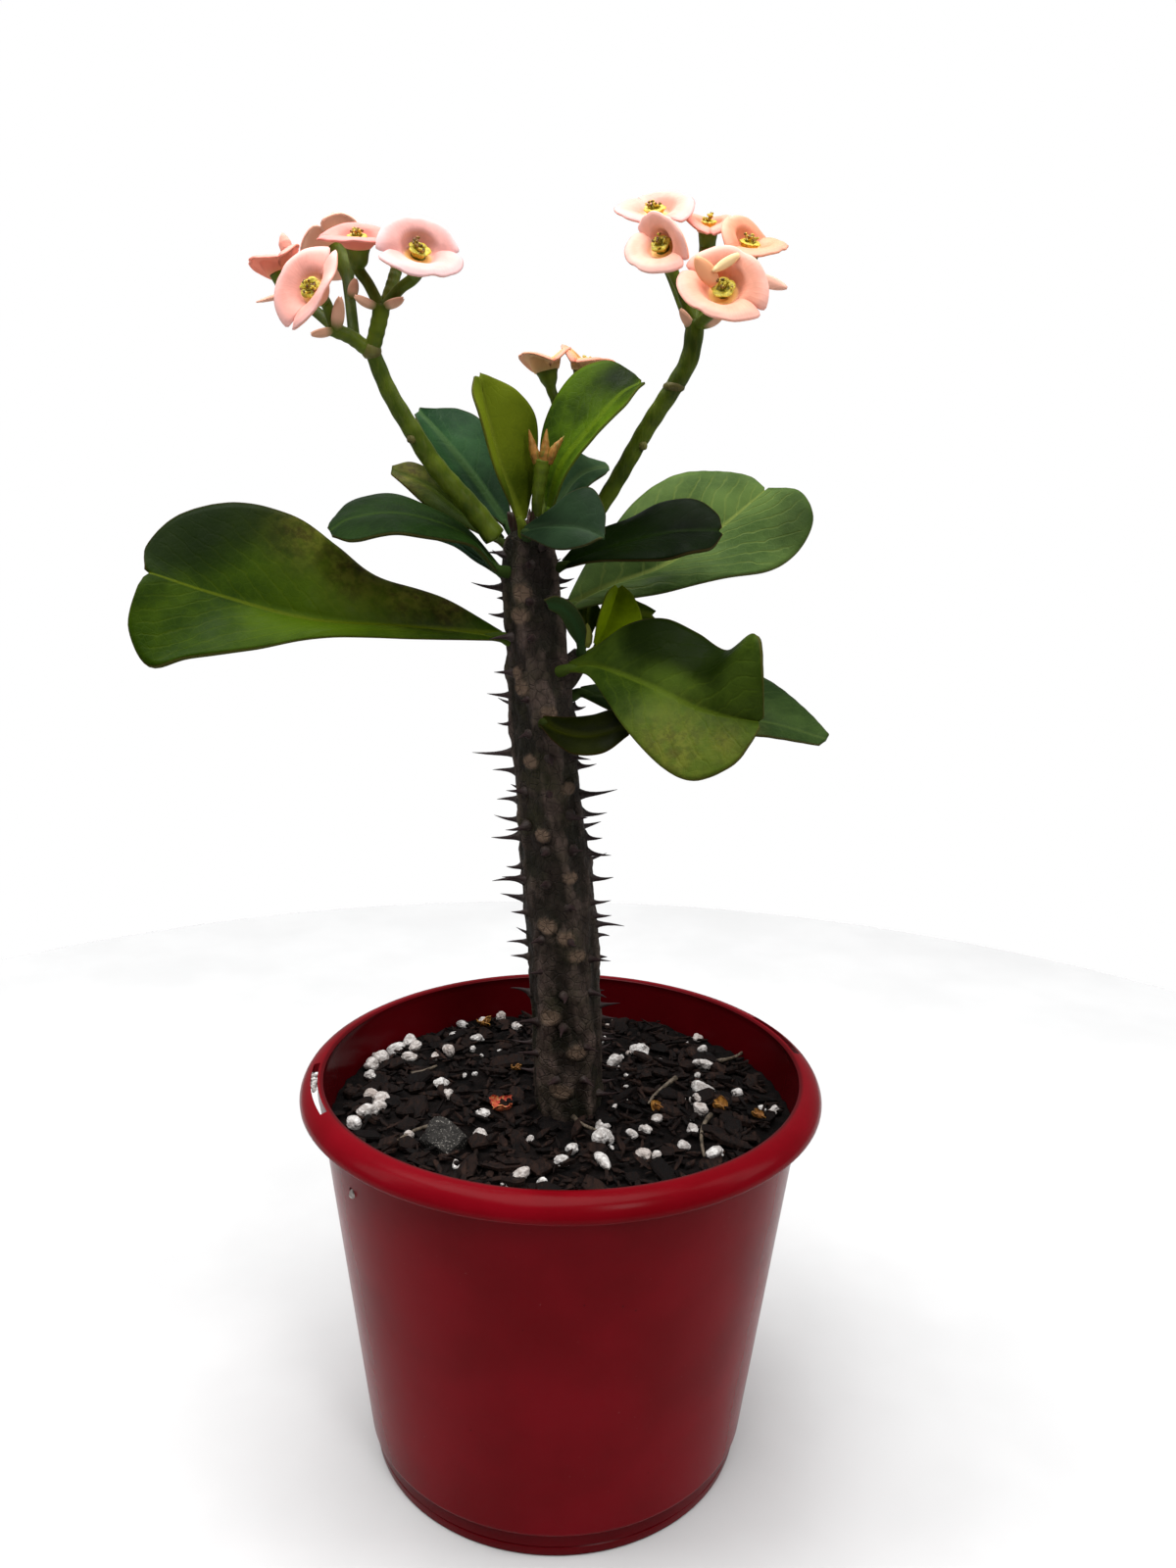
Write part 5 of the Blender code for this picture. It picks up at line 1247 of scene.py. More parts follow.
def build_perlite():
    """White grains where the photograph shows them, more at random, and those in the slot and the hole."""
    draw = random.Random(8)
    sphere, faces = ball(4)
    lump = Lump()
    places = []
    for px, py, radius in GRAINS:
        x, y = inside_wall(on_soil(px, py), radius * 1.5)
        places.append((x, y, soil_height(x, y) + radius * 0.48, radius))
    for _ in range(EXTRA_GRAINS):
        x, y = soil_spot(draw, 3)
        radius = draw.uniform(0.5, 1.1)
        places.append((x, y, soil_height(x, y) + radius * 0.5, radius))
    for angle, radius in SLOT_GRAINS:
        places.append((*polar(sum(SLOT_RADII) / 2, math.radians(angle)), POT_HEIGHT - 1.1, radius))
    hole = polar(wall_radius(SIDE_HOLE_HEIGHT) - 0.35, math.radians(SIDE_HOLE_ANGLES[0]))
    places.append((*hole, SIDE_HOLE_HEIGHT - 0.1, HOLE_GRAIN_RADIUS))
    for k, (x, y, z, radius) in enumerate(places):
        stretch = np.array([draw.uniform(0.95, 1.4), draw.uniform(0.75, 1.0), draw.uniform(0.7, 0.95)])
        dents = 0.23 * swirl(sphere + k * 3.7, 1.7, k) + 0.06 * swirl(sphere, 0.6, k)
        grain = sphere * (1 + dents[:, None]) * stretch * radius
        grain = grain @ turned_to(draw.uniform(0, 6.3), draw.uniform(-0.6, 0.6), 0.3).T
        lump.add(grain + [x, y, z], faces, tint=draw.random() ** 3)
    put(lump.build("perlite_grains"), "potting_mix", "soil", materials=[perlite_paint()])


def build_litter():
    """The speckled stone and the fallen dry bracts."""
    sphere, faces = ball(4)
    x, y = on_soil(*STONE)
    flat = np.clip(sphere, -0.72, 0.66) * (1 + 0.12 * swirl(sphere, 1.5, 5)[:, None])
    flat = (flat * [7.6, 5.6, 4.2]) @ turned_to(-0.7, 0.4, 0.25).T
    stone = mesh_object("stone", flat + [x, y, soil_height(x, y) + 1.5], faces, smooth=False)
    put(stone, "potting_mix", materials=[stone_paint()])
    reds = petal_paint("petal_red", (0.4, 0.035, 0.02), (0.52, 0.12, 0.045), (0.55, 0.3, 0.1))
    dry = petal_paint("petal_dry", (0.2, 0.075, 0.012), (0.36, 0.17, 0.03), (0.09, 0.035, 0.01))
    red_lump, dry_lump = Lump(), Lump()
    x, y = on_soil(*RED_PETAL)
    for spin, lean, size in RED_PETAL_LEAVES:
        add_petal(red_lump, (x, y, soil_height(x, y) + 0.4), size, spin, lean)
    draw = random.Random(4)
    for px, py, size in DRY_PETALS:
        x, y = inside_wall(on_soil(px, py), size)
        place = (x, y, soil_height(x, y) + 0.3)
        for _ in range(3):
            spin, lean = draw.uniform(0, 6.3), draw.uniform(0.35, 0.9)
            add_petal(dry_lump, place, size * draw.uniform(0.7, 1.0), spin, lean)
    put(red_lump.build("petal_fallen_red"), "bract_pink", materials=[reds])
    put(dry_lump.build("petals_dry"), "bract_pink", materials=[dry])


def add_petal(lump, place, size, spin, lean):
    """A cupped petal that stands on its base, leaning over."""
    rows, columns = 9, 11
    upper = np.zeros((rows, columns, 3))
    for i, up in enumerate(np.arange(rows) / (rows - 1)):
        wide = size * 0.55 * math.sin(math.pi * min(1, up * 0.8 + 0.12)) ** 0.7
        hollow = size * 0.25 * math.sin(math.pi * up * 0.8)
        for j, across in enumerate(2 * np.arange(columns) / (columns - 1) - 1):
            upper[i, j] = (across * wide, 0.3 - hollow * (1 - across**2), up * size * (1 - 0.12 * across**2))
    upper += 0.25 * swirl(upper, 3, int(spin * 10))[:, :, None]
    points, faces = thin_sheet(upper, upper + [0, 0.28, 0])
    lump.add(points @ turned_to(spin, lean, 0).T + place, faces)


# Stem

def stem_axis(height):
    """Sideways place of the stem's axis and its radius at a height."""
    heights, places, diameters = zip(*STEM_AXIS)
    return np.interp(height, heights, places), np.interp(height, heights, diameters) / 2


def stem_knobs():
    """Height and angle of each knob, up a spiral."""
    return [
        (height, math.radians(NODE_TURN * index) % (2 * math.pi))
        for index, height in enumerate(np.arange(103, 247, NODE_STEP))
    ]


def turn_between(angles, angle):
    """How far each angle is past another, from half a turn back to half a turn ahead."""
    return (angles - angle + math.pi) % (2 * math.pi) - math.pi


def build_stem():
    """The fleshy stem: ridges between furrows, knobs, leaf scars, and the short side shoot."""
    heights = np.concatenate([np.arange(90, 250, STEM_ROW), np.linspace(250, 254.5, 9)])
    angles = circle(STEM_SIDES)
    place, radius = stem_axis(heights)
    place, radius = place[:, None], radius[:, None]
    tall = heights[:, None] + 0 * angles
    around = angles[None, :] + 0 * heights[:, None]
    relief = np.zeros_like(tall)
    for height, angle in stem_knobs():
        across = turn_between(around, angle) * radius
        relief += 0.075 * radius * bell(across, 2.6) * bell(tall - height, 3.0)
    swelling = relief / 0.6
    body = np.stack([np.cos(around) * radius, np.sin(around) * radius, tall], axis=-1)
    flat = body * [1, 1, 0.22]
    furrows = 0.4 * np.cos(5 * around + tall / 26 + 1.3 * swirl(flat, 9, 30))
    furrows += 0.38 * swirl(flat, 5.5, 31) + 0.2 * swirl(flat * [1, 1, 1.6], 2.6, 32)
    lumps = 0.22 * swirl(body, 4.2, 33) + 0.1 * swirl(body, 1.7, 34)
    scar = np.zeros_like(tall)
    draw = random.Random(17)
    marks = [(x, z, wide, high, -1) for x, z, wide, high in SCARS]
    for height in np.arange(106, 242, 8):
        near = stem_axis(height)
        marks.append((near[0] + draw.uniform(-0.8, 0.8) * near[1], height, 2.3, 1.9, 1))
    for x, z, wide, high, side in marks:
        axis, reach = stem_axis(z)
        turn = math.acos(max(-0.97, min(0.97, (x - axis) / reach))) * side
        away = np.hypot(turn_between(around, turn) * radius / wide, (tall - z) / high)
        rings = bell(away - 0.92, 0.2) + 0.6 * bell(away - 0.5, 0.14) + 0.5 * bell(away, 0.16)
        inside = 1 - smoothstep(0.85, 1.35, away)
        relief += 0.42 * rings + 0.35 * inside
        furrows *= 1 - 0.8 * inside
        lumps *= 1 - 0.8 * inside
        scar = np.maximum(scar, (1 - 0.65 * np.clip(rings, 0, 1)) * inside)
    calm = smoothstep(254.5, 247, tall)
    out = radius * 0.97 + (relief + furrows + lumps) * calm
    points = np.stack([place + out * np.cos(around), out * np.sin(around), tall], axis=-1)
    value = np.clip(furrows + lumps + swelling * 0.5, -1, 1)
    lump = Lump()
    faces = grid_faces(len(heights), STEM_SIDES, closed=True)
    top = len(heights) * STEM_SIDES
    last = top - STEM_SIDES
    faces += [(top, last + k, last + (k + 1) % STEM_SIDES) for k in range(STEM_SIDES)]
    closed = np.concatenate([points.reshape(-1, 3), [[STEM_AXIS[-1][1], 0, 254.5]]])
    lump.add(closed, faces, relief=np.append(value.ravel(), 0), scar=np.append(scar.ravel(), 0))
    path = spline(SHOOT_LINE, 26)
    radii = np.interp(np.linspace(0, 2, 26), (0, 1, 2), SHOOT_RADII)
    points, faces = tube_points(path, radii, 28)
    points += 0.2 * swirl(points, 2.5, 41)[:, None]
    lump.add(points, faces, relief=0.1, scar=0.0)
    stem = facing_out(lump.build("stem_body"))
    put(stem, "stem_bark", "stem", materials=[bark_skin_paint()])


def spine_tips():
    """Height, angle, length and rise of every spine: those seen against the light, then the knobs' pairs."""
    draw = random.Random(5)
    found = []
    for middle, spines in ((math.pi, LEFT_SPINES), (0, RIGHT_SPINES)):
        for height, reach in spines:
            angle = middle + draw.uniform(-0.2, 0.2)
            found.append((height, angle, reach - stem_axis(height)[1], draw.uniform(-0.1, 0.15)))
    for _ in range(CROWN_SPINES):
        found.append((draw.uniform(243, 250), draw.uniform(0, 2 * math.pi), draw.uniform(1.5, 3.5), 0.5))
    for height, angle in stem_knobs():
        for side in (-1, 1):
            turn = (angle + side * math.radians(SPINE_SPREAD)) % (2 * math.pi)
            shoot_side = 205 < height < 232 and math.cos(turn) > 0.3
            edge_on = abs(math.sin(turn)) < 0.35 and 135 < height
            if not (shoot_side or edge_on or height > 240):
                found.append((height, turn, SPINE_LENGTH * draw.uniform(0.6, 1.1), draw.uniform(-0.1, 0.3)))
    return found


def build_spines():
    """Spines: a broad foot on the bark, then a slender point that bends a little."""
    draw = random.Random(6)
    lump = Lump()
    for height, angle, length, rise in spine_tips():
        axis, radius = stem_axis(height)
        outwards = np.array([math.cos(angle), math.sin(angle), 0])
        sideways = np.array([-math.sin(angle), math.cos(angle), 0])
        foot = np.array([axis, 0, height]) + outwards * (radius * 0.97 - 0.5)
        tip = np.array([axis, 0, height + rise * length]) + outwards * (radius + length)
        bend = sideways * draw.uniform(-0.4, 0.4) + np.array([0, 0, draw.uniform(-0.55, 0.35)])
        path = foot + (tip - foot) * SPINE_STEPS[:, None] + bend * np.sin(SPINE_STEPS * math.pi)[:, None]
        points, faces = tube_points(path, SPINE_RADII * draw.uniform(0.85, 1.1), 9)
        lump.add(points, faces, tip=np.append(np.repeat(SPINE_STEPS, 9), [0, 1]))
    spines = facing_out(lump.build("stem_spines"))
    put(spines, "stem_bark", "stem", materials=[spine_paint()])


# Leaves

def leaf_foot(name, middle):
    """The short stalk that joins a blade to the stem, or to the side shoot."""
    base = middle[0]
    if "shoot" in name:
        root = np.array(SHOOT_LINE[-1]) - [0, 0, 1.5]
    else:
        height = min(base[2] - 1.5, 250.5)
        axis, radius = stem_axis(height)
        root = np.array([axis, 0, height]) + unit(base - [axis, 0, base[2]]) * radius * 0.7
    path = spline([root, (root + base) / 2 + [0, 0, -0.2], base, middle[4]], 14)
    path[:, 2] -= np.linspace(0, 0.5, 14)
    return tube_points(path, np.linspace(1.9, 0.8, 14), 12)


def spots(points, table):
    """The strength at each point of each (middle, reach, strength) in a table."""
    return [
        strength * bell(np.linalg.norm((points - centre) * [1, 0.6, 1], axis=1), reach)
        for centre, reach, strength in table
    ]


def build_leaf(name, rib, edge_a, edge_b, bulge):
    """A leaf blade between its three lines: raised between the veins, wavy at the edge, with a rib below."""
    slot, deep, light, rib_colour, veins, wave = LEAF_LOOKS.get(name, PLAIN_LOOK)
    middle, side_a, side_b = (spline(line, LEAF_ROWS) for line in (rib, edge_a, edge_b))
    lift = unit(np.cross(side_a - side_b, np.gradient(middle, axis=0)))
    swell = bulge * np.sin(np.linspace(0, math.pi, LEAF_ROWS))[:, None]
    share = np.linspace(0, 1, LEAF_HALF + 1)[None, :, None]
    halves = []
    for side in (side_a, side_b):
        half = (middle + side) / 2 + lift * swell
        from_rib = middle[:, None] * (1 - share) * (1 - 2 * share)
        to_edge = side[:, None] * share * (2 * share - 1)
        halves.append(from_rib + half[:, None] * 4 * share * (1 - share) + to_edge)
    sheet = np.concatenate([halves[0][:, :0:-1], halves[1]], axis=1)
    spread = np.abs(np.linspace(-1, 1, 2 * LEAF_HALF + 1))[None, :]
    steps = np.linalg.norm(np.diff(middle, axis=0), axis=1)
    along = np.concatenate([[0], np.cumsum(steps)])[:, None] + 0 * spread
    aside = np.linalg.norm(sheet - middle[:, None], axis=2)
    sign = np.where(np.arange(2 * LEAF_HALF + 1) < LEAF_HALF, -1, 1)[None, :]
    widest = np.where(sign < 0, aside[:, :1], aside[:, -1:])
    inside = np.minimum(widest - aside, along[-1, 0] - along + 0.4 * (1 - spread))
    normal = unit(np.cross(np.gradient(sheet, axis=1), np.gradient(sheet, axis=0)))
    if normal[:, :, 2].mean() < 0:
        normal = -normal
    phase = (along - aside * (VEIN_LEAN + VEIN_CURVE * aside)) / VEIN_SPACING * 2 * math.pi
    fade = np.sin(math.pi * np.linspace(0.02, 0.98, LEAF_ROWS))[:, None] ** 0.5
    pucker = 0.09 * veins * np.cos(phase) * np.clip(spread * 3, 0, 1)
    flutter = wave * 0.6 * swirl(sheet, 24, len(name)) * spread**2
    sheet = sheet + normal * ((pucker + flutter) * fade)[:, :, None]
    thick = 0.28 + 0.02 * widest
    taper = np.clip(1 - along / (along[-1, 0] + 1), 0.12, 1)
    keel = 0.9 * taper * bell(aside, 0.9)
    groove = 0.22 * taper * bell(aside, 0.6)
    upper = sheet + normal * (thick / 2 + 0.1 - groove)[:, :, None]
    lower = sheet - normal * (thick / 2 + 0.1 + keel)[:, :, None]
    points, faces = thin_sheet(upper, lower)
    place = np.stack([along, aside * sign, inside], axis=2).reshape(-1, 3)
    foot, foot_faces = leaf_foot(name, middle)
    faces += [tuple(index + len(points) for index in face) for face in foot_faces]
    points = np.concatenate([points, foot])
    slots = np.ones(len(faces))
    slots[:(LEAF_ROWS - 1) * 2 * LEAF_HALF] = 0
    foot_place = np.tile([0.0, 2.0, 4.0], (len(foot), 1))
    none = np.zeros(len(points))
    values = {
        "leaf_place": np.concatenate([place, place, foot_place]),
        "blotch": np.maximum.reduce([none, *spots(points, BLOTCHES.get(name, ()))]),
        # Painted light and shade from the spots above
        "tint_and_painted_shading": np.clip(sum(spots(points, PAINTED_LIGHT_AND_SHADE.get(name, ())), none), -1, 1),
    }
    leaf = facing_out(mesh_object(name.replace("leaf", "blade"), points, faces, slots, values))
    above = leaf_paint(name + "_above", deep, light, rib_colour, veins, False)
    dull = tuple(0.7 * a + 0.3 * b for a, b in zip(light, (0.06, 0.09, 0.02)))
    below = leaf_paint(name + "_below", scaled(dull, 0.7), dull, scaled(rib_colour, 1.1), veins * 0.7, True)
    put(leaf, slot, name, materials=[above, below])


# Stalks and blooms

def build_stalks():
    """Each flower stalk with the branches and funnels of its blooms, its rings and its scales."""
    skin = stalk_paint()
    for name, branches in STALKS.items():
        lump, tips = Lump(), Lump()
        for index, (points, start, end) in enumerate(branches):
            count = 12 * len(points)
            radii = np.linspace(start, end, count)
            pointed = name == "stalk_buds" and index > 0
            if pointed:
                steps = np.linspace(0, 1, count)
                radii = start * np.interp(steps, (0, 0.3, 0.65, 1), (0.85, 0.95, 0.6, 0.12))
            grain = 1 + 0.03 * np.sin(np.arange(count) * 0.9)
            shape, faces = tube_points(spline(points, count), radii * grain, 20)
            if pointed:
                tips.add(shape, faces)
            else:
                lump.add(shape, faces, young=STALK_YOUTH[name], brown=0.0)
        for stalk, root, centre, facing, _, size, _ in BLOOMS.values():
            if stalk == name:
                path, radii = funnel_path(Vector(root), Vector(centre), Vector(facing).normalized(), size)
                shape, faces = tube_points(path, radii, 20)
                rise = np.append(np.repeat(np.linspace(0, 1, len(path)), 20), [0, 1])
                lump.add(shape, faces, young=0.25 + 0.6 * smoothstep(0.45, 1, rise), brown=0.0)
        for stalk, place, knot_radius, high in STALK_KNOTS:
            if stalk == name:
                path = np.array(place) + np.array([[0, 0, z * high] for z in (-1, -0.6, 0, 0.6, 1)])
                shape, faces = tube_points(path, np.array([0.7, 0.93, 1, 0.93, 0.7]) * knot_radius, 18)
                lump.add(shape, faces, young=0.1, brown=0.1)
        for root, tip, half_width in BRACTEOLES.get(name, ()):
            add_scale(lump, root, tip, half_width)
        made = facing_out(lump.build(name.replace("stalk", "flower_stalk")))
        put(made, "stalk_green", name, materials=[skin])
        if tips.size:
            rust = petal_paint("bud_tip_skin", (0.2, 0.085, 0.01), (0.34, 0.15, 0.025), (0.13, 0.13, 0.012))
            put(facing_out(tips.build("bud_tips")), "stalk_green", name, materials=[rust])


def funnel_path(root, centre, facing, size):
    """The path and radii of a bloom's own branch, which swells into the funnel under it."""
    share = min(1, size / 9)
    wide = FUNNEL_RADIUS * share
    top = centre - facing * (BRACT_THICKNESS / 2)
    low = top - facing * FUNNEL_LENGTH * share
    bend = root.lerp(low, 0.55) + Vector((0, 0, 0.6))
    path = spline((root, bend, low, top - facing * FUNNEL_LENGTH * share * 0.5, top), 36)
    radii = np.interp(np.linspace(0, 1, 36), (0, 0.45, 0.65, 0.8, 0.92, 1),
                      (1.3, 1.25, 1.35, 0.62 * wide + 0.4, 0.86 * wide, wide))
    return path, radii


def add_scale(lump, root, tip, half_width, towards=(0, 0.6, 0.8)):
    """A small spoon-shaped scale from its root to its tip, hollow on the side that it turns up."""
    rows, columns = 10, 9
    root = np.array(root, float)
    ahead = np.array(tip, float) - root
    side = unit(np.cross(ahead, towards))
    up = unit(np.cross(side, ahead))
    upper = np.zeros((rows, columns, 3))
    for i, share in enumerate(np.arange(rows) / (rows - 1)):
        wide = half_width * math.sin(math.pi * (0.12 + 0.86 * share)) ** 0.6
        for j, across in enumerate(2 * np.arange(columns) / (columns - 1) - 1):
            curl = 0.5 * across**2 + 0.8 * share**2
            upper[i, j] = root + ahead * share + side * wide * across + up * (curl - 0.2)
    points, faces = thin_sheet(upper, upper - up * 0.5)
    rise = np.tile(np.repeat(np.linspace(0, 1, rows), columns), 2)
    lump.add(points, faces, young=0.6, brown=smoothstep(0.05, 0.5, rise))


def build_loose_bracts():
    """Small rolled bracts: two in the throat of the large front bloom, and one at each side."""
    for name, (root, tip, half_width, face, rim) in LOOSE_BRACTS.items():
        lump = Lump()
        add_scale(lump, root, tip, half_width, (0, 1, 0.2))
        skin = bract_paint(name, face, rim, face, None)
        put(facing_out(lump.build(name)), "bract_pink", materials=[skin])


def build_crown():
    """Dark red scales between the leaf bases at the top of the stem."""
    draw = random.Random(12)
    lump = Lump()
    for k in range(CROWN_SCALES):
        angle = 2 * math.pi * (k + draw.uniform(-0.3, 0.3)) / CROWN_SCALES
        out, rise = draw.uniform(1.5, 5.0), draw.uniform(4.0, 8.5)
        foot = np.array([*polar(3.2, angle), 249.5]) + [STEM_AXIS[-1][1], 0, 0]
        tip = foot + [*polar(out, angle), rise]
        add_scale(lump, foot, tip, draw.uniform(0.7, 1.4))
    skin = petal_paint("crown_skin", (0.022, 0.008, 0.005), (0.05, 0.017, 0.01), (0.02, 0.03, 0.005))
    put(facing_out(lump.build("crown_scales")), "stem_bark", materials=[skin])


def bloom_frame(facing, toward):
    """Axes of a bloom: the first bract's direction, the crease between the bracts, and the facing."""
    facing = Vector(facing).normalized()
    first = Vector(toward)
    first = (first - facing * first.dot(facing)).normalized()
    return first, facing.cross(first), facing


def bract_point(angle, share, size, lifts):
    """A place on the pair of bracts: an angle round the bloom and a share of the way to the edge."""
    first = abs(angle) <= 90
    local = angle if first else (180 - abs(angle)) * (1 if angle > 0 else -1)
    throat = 0.33 * size
    full = size * (0.9 + 0.12 * math.sin(math.radians(abs(local))) ** 2 - 0.04 * bell(local, 8))
    open_by = min(1.0, (90 - abs(local)) / CLEFT_WIDTH)
    edge = throat * 1.3 + (full - throat * 1.3) * math.sqrt(open_by * (2 - open_by))
    reach = throat * share if share <= 1 else throat + (edge - throat) * (share - 1)
    out = max(0.0, (reach - throat) / (size - throat))
    rise = BRACT_CUP * size / 9 * (1 - math.exp(-out * 4)) - 0.9 * out**3
    x, y = polar(reach, math.radians(angle))
    lift = math.radians(lifts[0] if first else lifts[1]) * min(1, out * 3)
    away = abs(x)
    x_new = max(away * math.cos(lift) - rise * math.sin(lift), CREASE_SPREAD * away)
    z_new = away * math.sin(lift) + rise * math.cos(lift)
    return math.copysign(x_new, x), y, z_new


def build_bloom(name, stalk, centre, facing, toward, size, lifts, seed):
    """The two bracts as one thin sheet with a hub, gently puckered and curled at the rim."""
    axes = np.array([axis[:] for axis in bloom_frame(facing, toward)])
    near_crease = np.array([80, 83, 85.5, 87.5, 89, 90])
    half = np.concatenate([-near_crease[::-1], np.linspace(-74, 74, 24), near_crease[:-1]])
    angles = np.concatenate([half, half + 180])
    shares = np.concatenate([[0.02, 0.35, 0.7, 0.9, 1.0, 1.08], np.linspace(1.18, 2, 12)])
    local = np.array([
        [bract_point((angle + 180) % 360 - 180, share, size, lifts) for angle in angles] for share in shares
    ])
    out = np.clip(shares - 1, 0, 1)[:, None]
    ripple = 0.34 * swirl(local, 7.5, seed) * out + 0.12 * swirl(local, 3, seed + 1) * out
    local[:, :, 2] += ripple - 0.35 * smoothstep(0.8, 1.0, out)
    sheet = np.array(centre) + local @ axes
    around = np.roll(sheet, -1, axis=1) - np.roll(sheet, 1, axis=1)
    normal = unit(np.cross(np.gradient(sheet, axis=0), around))
    thick = BRACT_THICKNESS / 2 * (1 - 0.3 * out**4)[:, :, None]
    rows, columns = sheet.shape[:2]
    count = rows * columns
    points = np.stack([sheet + normal * thick, sheet - normal * thick]).reshape(-1, 3)
    above = grid_faces(rows, columns, closed=True)
    below = [tuple(count + i for i in reversed(face)) for face in above]
    rim = [(count - columns + k, count - columns + (k + 1) % columns) for k in range(columns)]
    side = [(a, b, count + b, count + a) for a, b in rim]
    hubs = [tuple(range(columns)), tuple(range(count, count + columns))]
    slots = [0] * len(above) + [1] * (len(below) + len(side)) + [0, 1]
    turn = np.radians(np.abs((angles + 90) % 180 - 90))[None, :] + 0 * shares[:, None]
    place = np.stack([shares[:, None] + 0 * turn, turn, 0 * turn], axis=2).reshape(-1, 3)
    values = {"bract_place": np.concatenate([place, place])}
    faces = above + below + side + hubs
    bloom = facing_out(mesh_object(name.replace("bloom", "bracts"), points, faces, slots, values))
    face, edge, throat, under = BRACT_COLOURS[stalk]
    # Each bloom's own tint, with painted light on the blooms that lie in shade
    tint_and_painted_shading = BLOOM_TINTS_AND_PAINTED_LIGHT.get(name, (1, 1, 1))
    face, edge, under = (
        tuple(min(0.96, part * factor) for part, factor in zip(colour, tint_and_painted_shading))
        for colour in (face, edge, under)
    )
    upper_skin = bract_paint(name + "_above", face, edge, throat, None)
    lower_skin = bract_paint(name + "_below", face, edge, throat, under)
    slot = "bract_peach" if stalk == "stalk_middle" else "bract_pink"
    put(bloom, slot, name, materials=[upper_skin, lower_skin])


def build_centre(name, centre, facing, toward, size, paint, seed):
    """The cup in the throat, with glands round it and a tuft of stamens that each carry two pollen sacs."""
    axes = np.array([axis[:] for axis in bloom_frame(facing, toward)])
    draw = random.Random(seed)
    wide = CENTRE_WIDTH * size
    lump = Lump()
    angles = circle(CUP_SIDES)
    scallop = 1 + 0.1 * np.cos(5 * angles)
    cup = [ring(wide * share * scallop, angles, height) for share, height in CUP_PROFILE]
    lump.add(np.concatenate(cup), grid_faces(len(cup), CUP_SIDES, closed=True), tint=0.15)
    sphere, faces = ball(3)
    for angle in circle(GLANDS):
        gland = sphere * [0.34 * wide, 0.62 * wide, 0.3]
        gland[:, 0] -= 0.24 * (gland[:, 1] / (0.62 * wide)) ** 2 * wide * 0.5
        gland = (gland + [0.86 * wide, 0, 2.0]) @ turned_to(angle, 0, 0).T
        lump.add(gland, faces, tint=0.0)
    sphere, faces = ball(2)
    for _ in range(STAMENS):
        angle, out = draw.uniform(0, 2 * math.pi), wide * draw.uniform(0.05, 0.6)
        foot = np.array([*polar(out * 0.6, angle), 1.3])
        head = np.array([*polar(out * 1.5, angle), draw.uniform(2.5, 3.6)])
        lump.add(*tube_points(np.linspace(foot, head, 4), [0.13, 0.12, 0.11, 0.11], 6), tint=0.35)
        for way in (-1, 1):
            sac = sphere * 0.3 + head + [0.2 * way * math.sin(angle), -0.2 * way * math.cos(angle), 0.1]
            tint = draw.choice((0.0, 0.2, 0.95, 1.0))
            lump.add(sac, faces, tint=tint * 0.2 if "young" in name else tint)
    lump.points = [np.concatenate(lump.points) @ axes + np.array(centre)]
    put(lump.build(name.replace("bloom", "cup")), "flower_centre", name, materials=[paint])


def build_bud(name, root, tip, radius, slot, materials, node):
    """A closed bud: two bracts pressed together, so its section is oval with a seam on each side."""
    rows, columns = 30, 32
    root, tip = np.array(root, float), np.array(tip, float)
    ahead = unit(tip - root)
    side = unit(np.cross(ahead, [0.3, 1, 0.1]))
    third = np.cross(ahead, side)
    points = []
    for share in np.linspace(0, 1, rows):
        wide = radius * np.interp(share, (0, 0.2, 0.5, 0.8, 0.94, 1), (0.45, 0.9, 1, 0.6, 0.28, 0.08))
        for angle in circle(columns):
            seam = 1 - 0.13 * bell(math.sin(angle), 0.16) * (0.2 + share)
            offset = side * math.cos(angle) * wide * seam + third * math.sin(angle) * wide * 0.86
            points.append(root + (tip - root) * share + offset)
    points += [root, tip]
    share = np.append(np.repeat(np.linspace(1.0, 1.8, rows), columns), [1, 1.8])
    turn = np.append(np.tile(circle(columns), rows), [0, 0])
    values = {"bract_place": np.column_stack([share, turn, 0 * turn])}
    bud = facing_out(mesh_object(name, points, capped_faces(rows, columns), values=values))
    put(bud, slot, node, materials=materials)


# Floor, light and camera

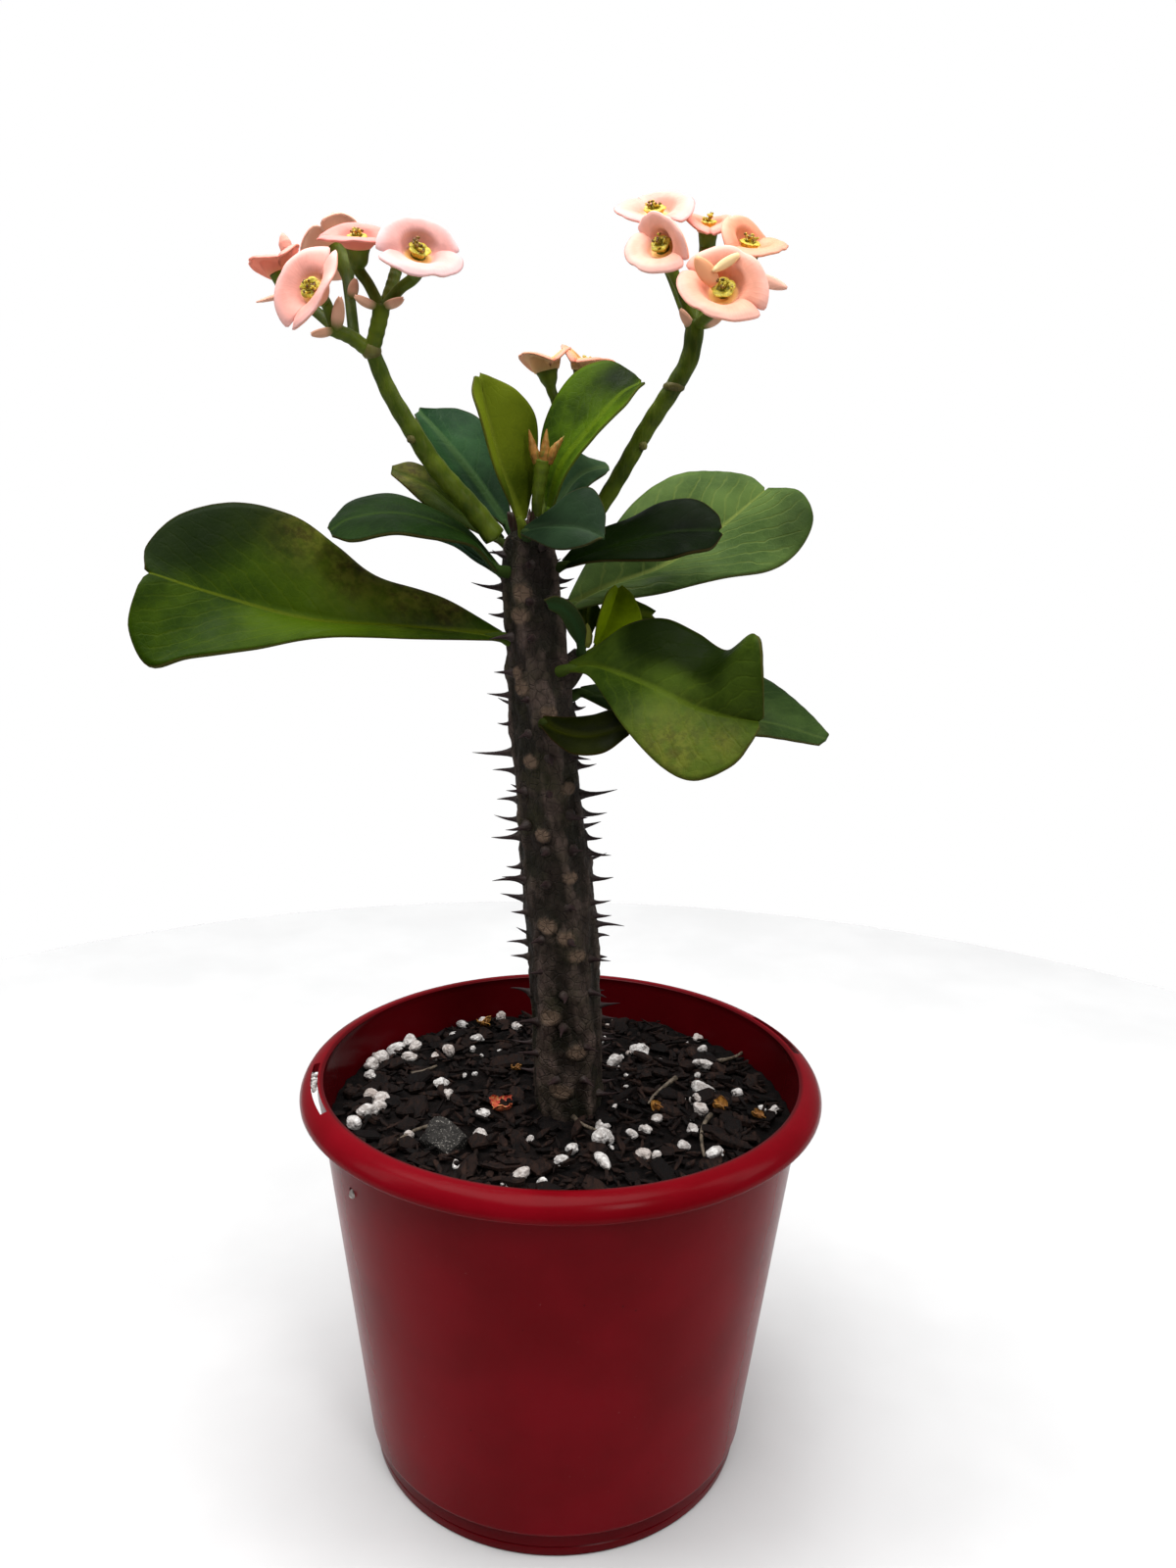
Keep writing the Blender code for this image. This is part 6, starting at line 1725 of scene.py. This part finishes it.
def build_studio():
    """White for the camera, soft light that is stronger from behind, the lamps and the floor."""
    world = bpy.data.worlds.new("studio")
    bpy.context.scene.world = world
    world.use_nodes = True
    tree = world.node_tree
    tree.nodes.clear()
    output, glow, seen, either, path, place, split, ramp = (
        tree.nodes.new("ShaderNode" + kind)
        for kind in ("OutputWorld", "Background", "Background", "MixShader", "LightPath", "TexCoord",
                     "SeparateXYZ", "MapRange")
    )
    seen.inputs["Color"].default_value = (1, 1, 1, 1)
    glow.inputs["Color"].default_value = (0.97, 0.98, 1.0, 1)
    for name, number in (("From Min", -0.5), ("From Max", 0.9), ("To Min", 0.06), ("To Max", 0.4)):
        ramp.inputs[name].default_value = number
    for source, target in (
        (place.outputs["Generated"], split.inputs[0]),
        (split.outputs["Y"], ramp.inputs["Value"]),
        (ramp.outputs[0], glow.inputs["Strength"]),
        (path.outputs["Is Camera Ray"], either.inputs[0]),
        (glow.outputs[0], either.inputs[1]),
        (seen.outputs[0], either.inputs[2]),
        (either.outputs[0], output.inputs["Surface"]),
    ):
        tree.links.new(source, target)
    for name, (place, target, size, power) in LAMPS.items():
        light = bpy.data.lights.new(name, "AREA")
        light.shape = "RECTANGLE"
        light.size, light.size_y = size
        light.energy = power
        lamp = bpy.data.objects.new(name, light)
        bpy.context.scene.collection.objects.link(lamp)
        lamp.location = place
        lamp.rotation_euler = (Vector(target) - Vector(place)).to_track_quat("-Z", "Y").to_euler()
    edge = [(*polar(FLOOR_RADIUS, angle), 0) for angle in circle(FLOOR_SIDES)]
    floor = mesh_object("floor", edge, [tuple(range(FLOOR_SIDES))])
    paint = Paint("floor_pale", roughness=0.8, specular=0.1)
    cloud = paint.noise(60, detail=3)
    pale = paint.blend(cloud, 0.3, 0.7, (0.54, 0.54, 0.54), (0.57, 0.57, 0.57))
    floor.data.materials.append(paint.finish(pale))


def build_camera():
    """The camera at the photograph's place and angle."""
    camera = bpy.data.cameras.new("photo_view")
    camera.lens = FOCAL_PX * SENSOR / max(PHOTO)
    camera.sensor_width = SENSOR
    camera.clip_start, camera.clip_end = 0.01, 50
    view = bpy.data.objects.new("photo_view", camera)
    bpy.context.scene.collection.objects.link(view)
    turn = Matrix([(RIGHT[k], UP[k], -FORWARD[k]) for k in range(3)]).to_4x4()
    view.matrix_world = Matrix.Translation(Vector(CAMERA_PLACE) * MM) @ turn
    bpy.context.scene.camera = view


def main():
    bpy.context.scene.view_settings.view_transform = "Standard"
    build_studio()
    build_camera()
    build_pot()
    build_soil()
    build_bark()
    build_twigs()
    build_perlite()
    build_litter()
    build_stem()
    build_spines()
    for name, outline in LEAVES.items():
        build_leaf(name, *outline)
    build_crown()
    build_stalks()
    build_loose_bracts()
    middle = centre_paint()
    for seed, (name, (stalk, _, centre, facing, toward, size, lifts)) in enumerate(BLOOMS.items()):
        build_bloom(name, stalk, centre, facing, toward, size, lifts, seed * 5)
        build_centre(f"{name}_centre", centre, facing, toward, size, middle, seed)
    pink = bract_paint("bud_skin", (0.84, 0.36, 0.28), (0.86, 0.42, 0.34), (0.6, 0.4, 0.12), None)
    for name, (root, tip, radius) in CLOSED_BLOOMS.items():
        build_bud(name.replace("bud", "closed_bud"), root, tip, radius, "bract_pink", [pink], name)
    greens = (0.12, 0.16, 0.02), (0.24, 0.28, 0.04), (0.3, 0.32, 0.06)
    green = leaf_paint("shoot_bud_skin", *greens, 0.1, False)
    build_bud("shoot_tip", *SHOOT_BUD, "leaf_young", [green], "shoot_bud")


main()
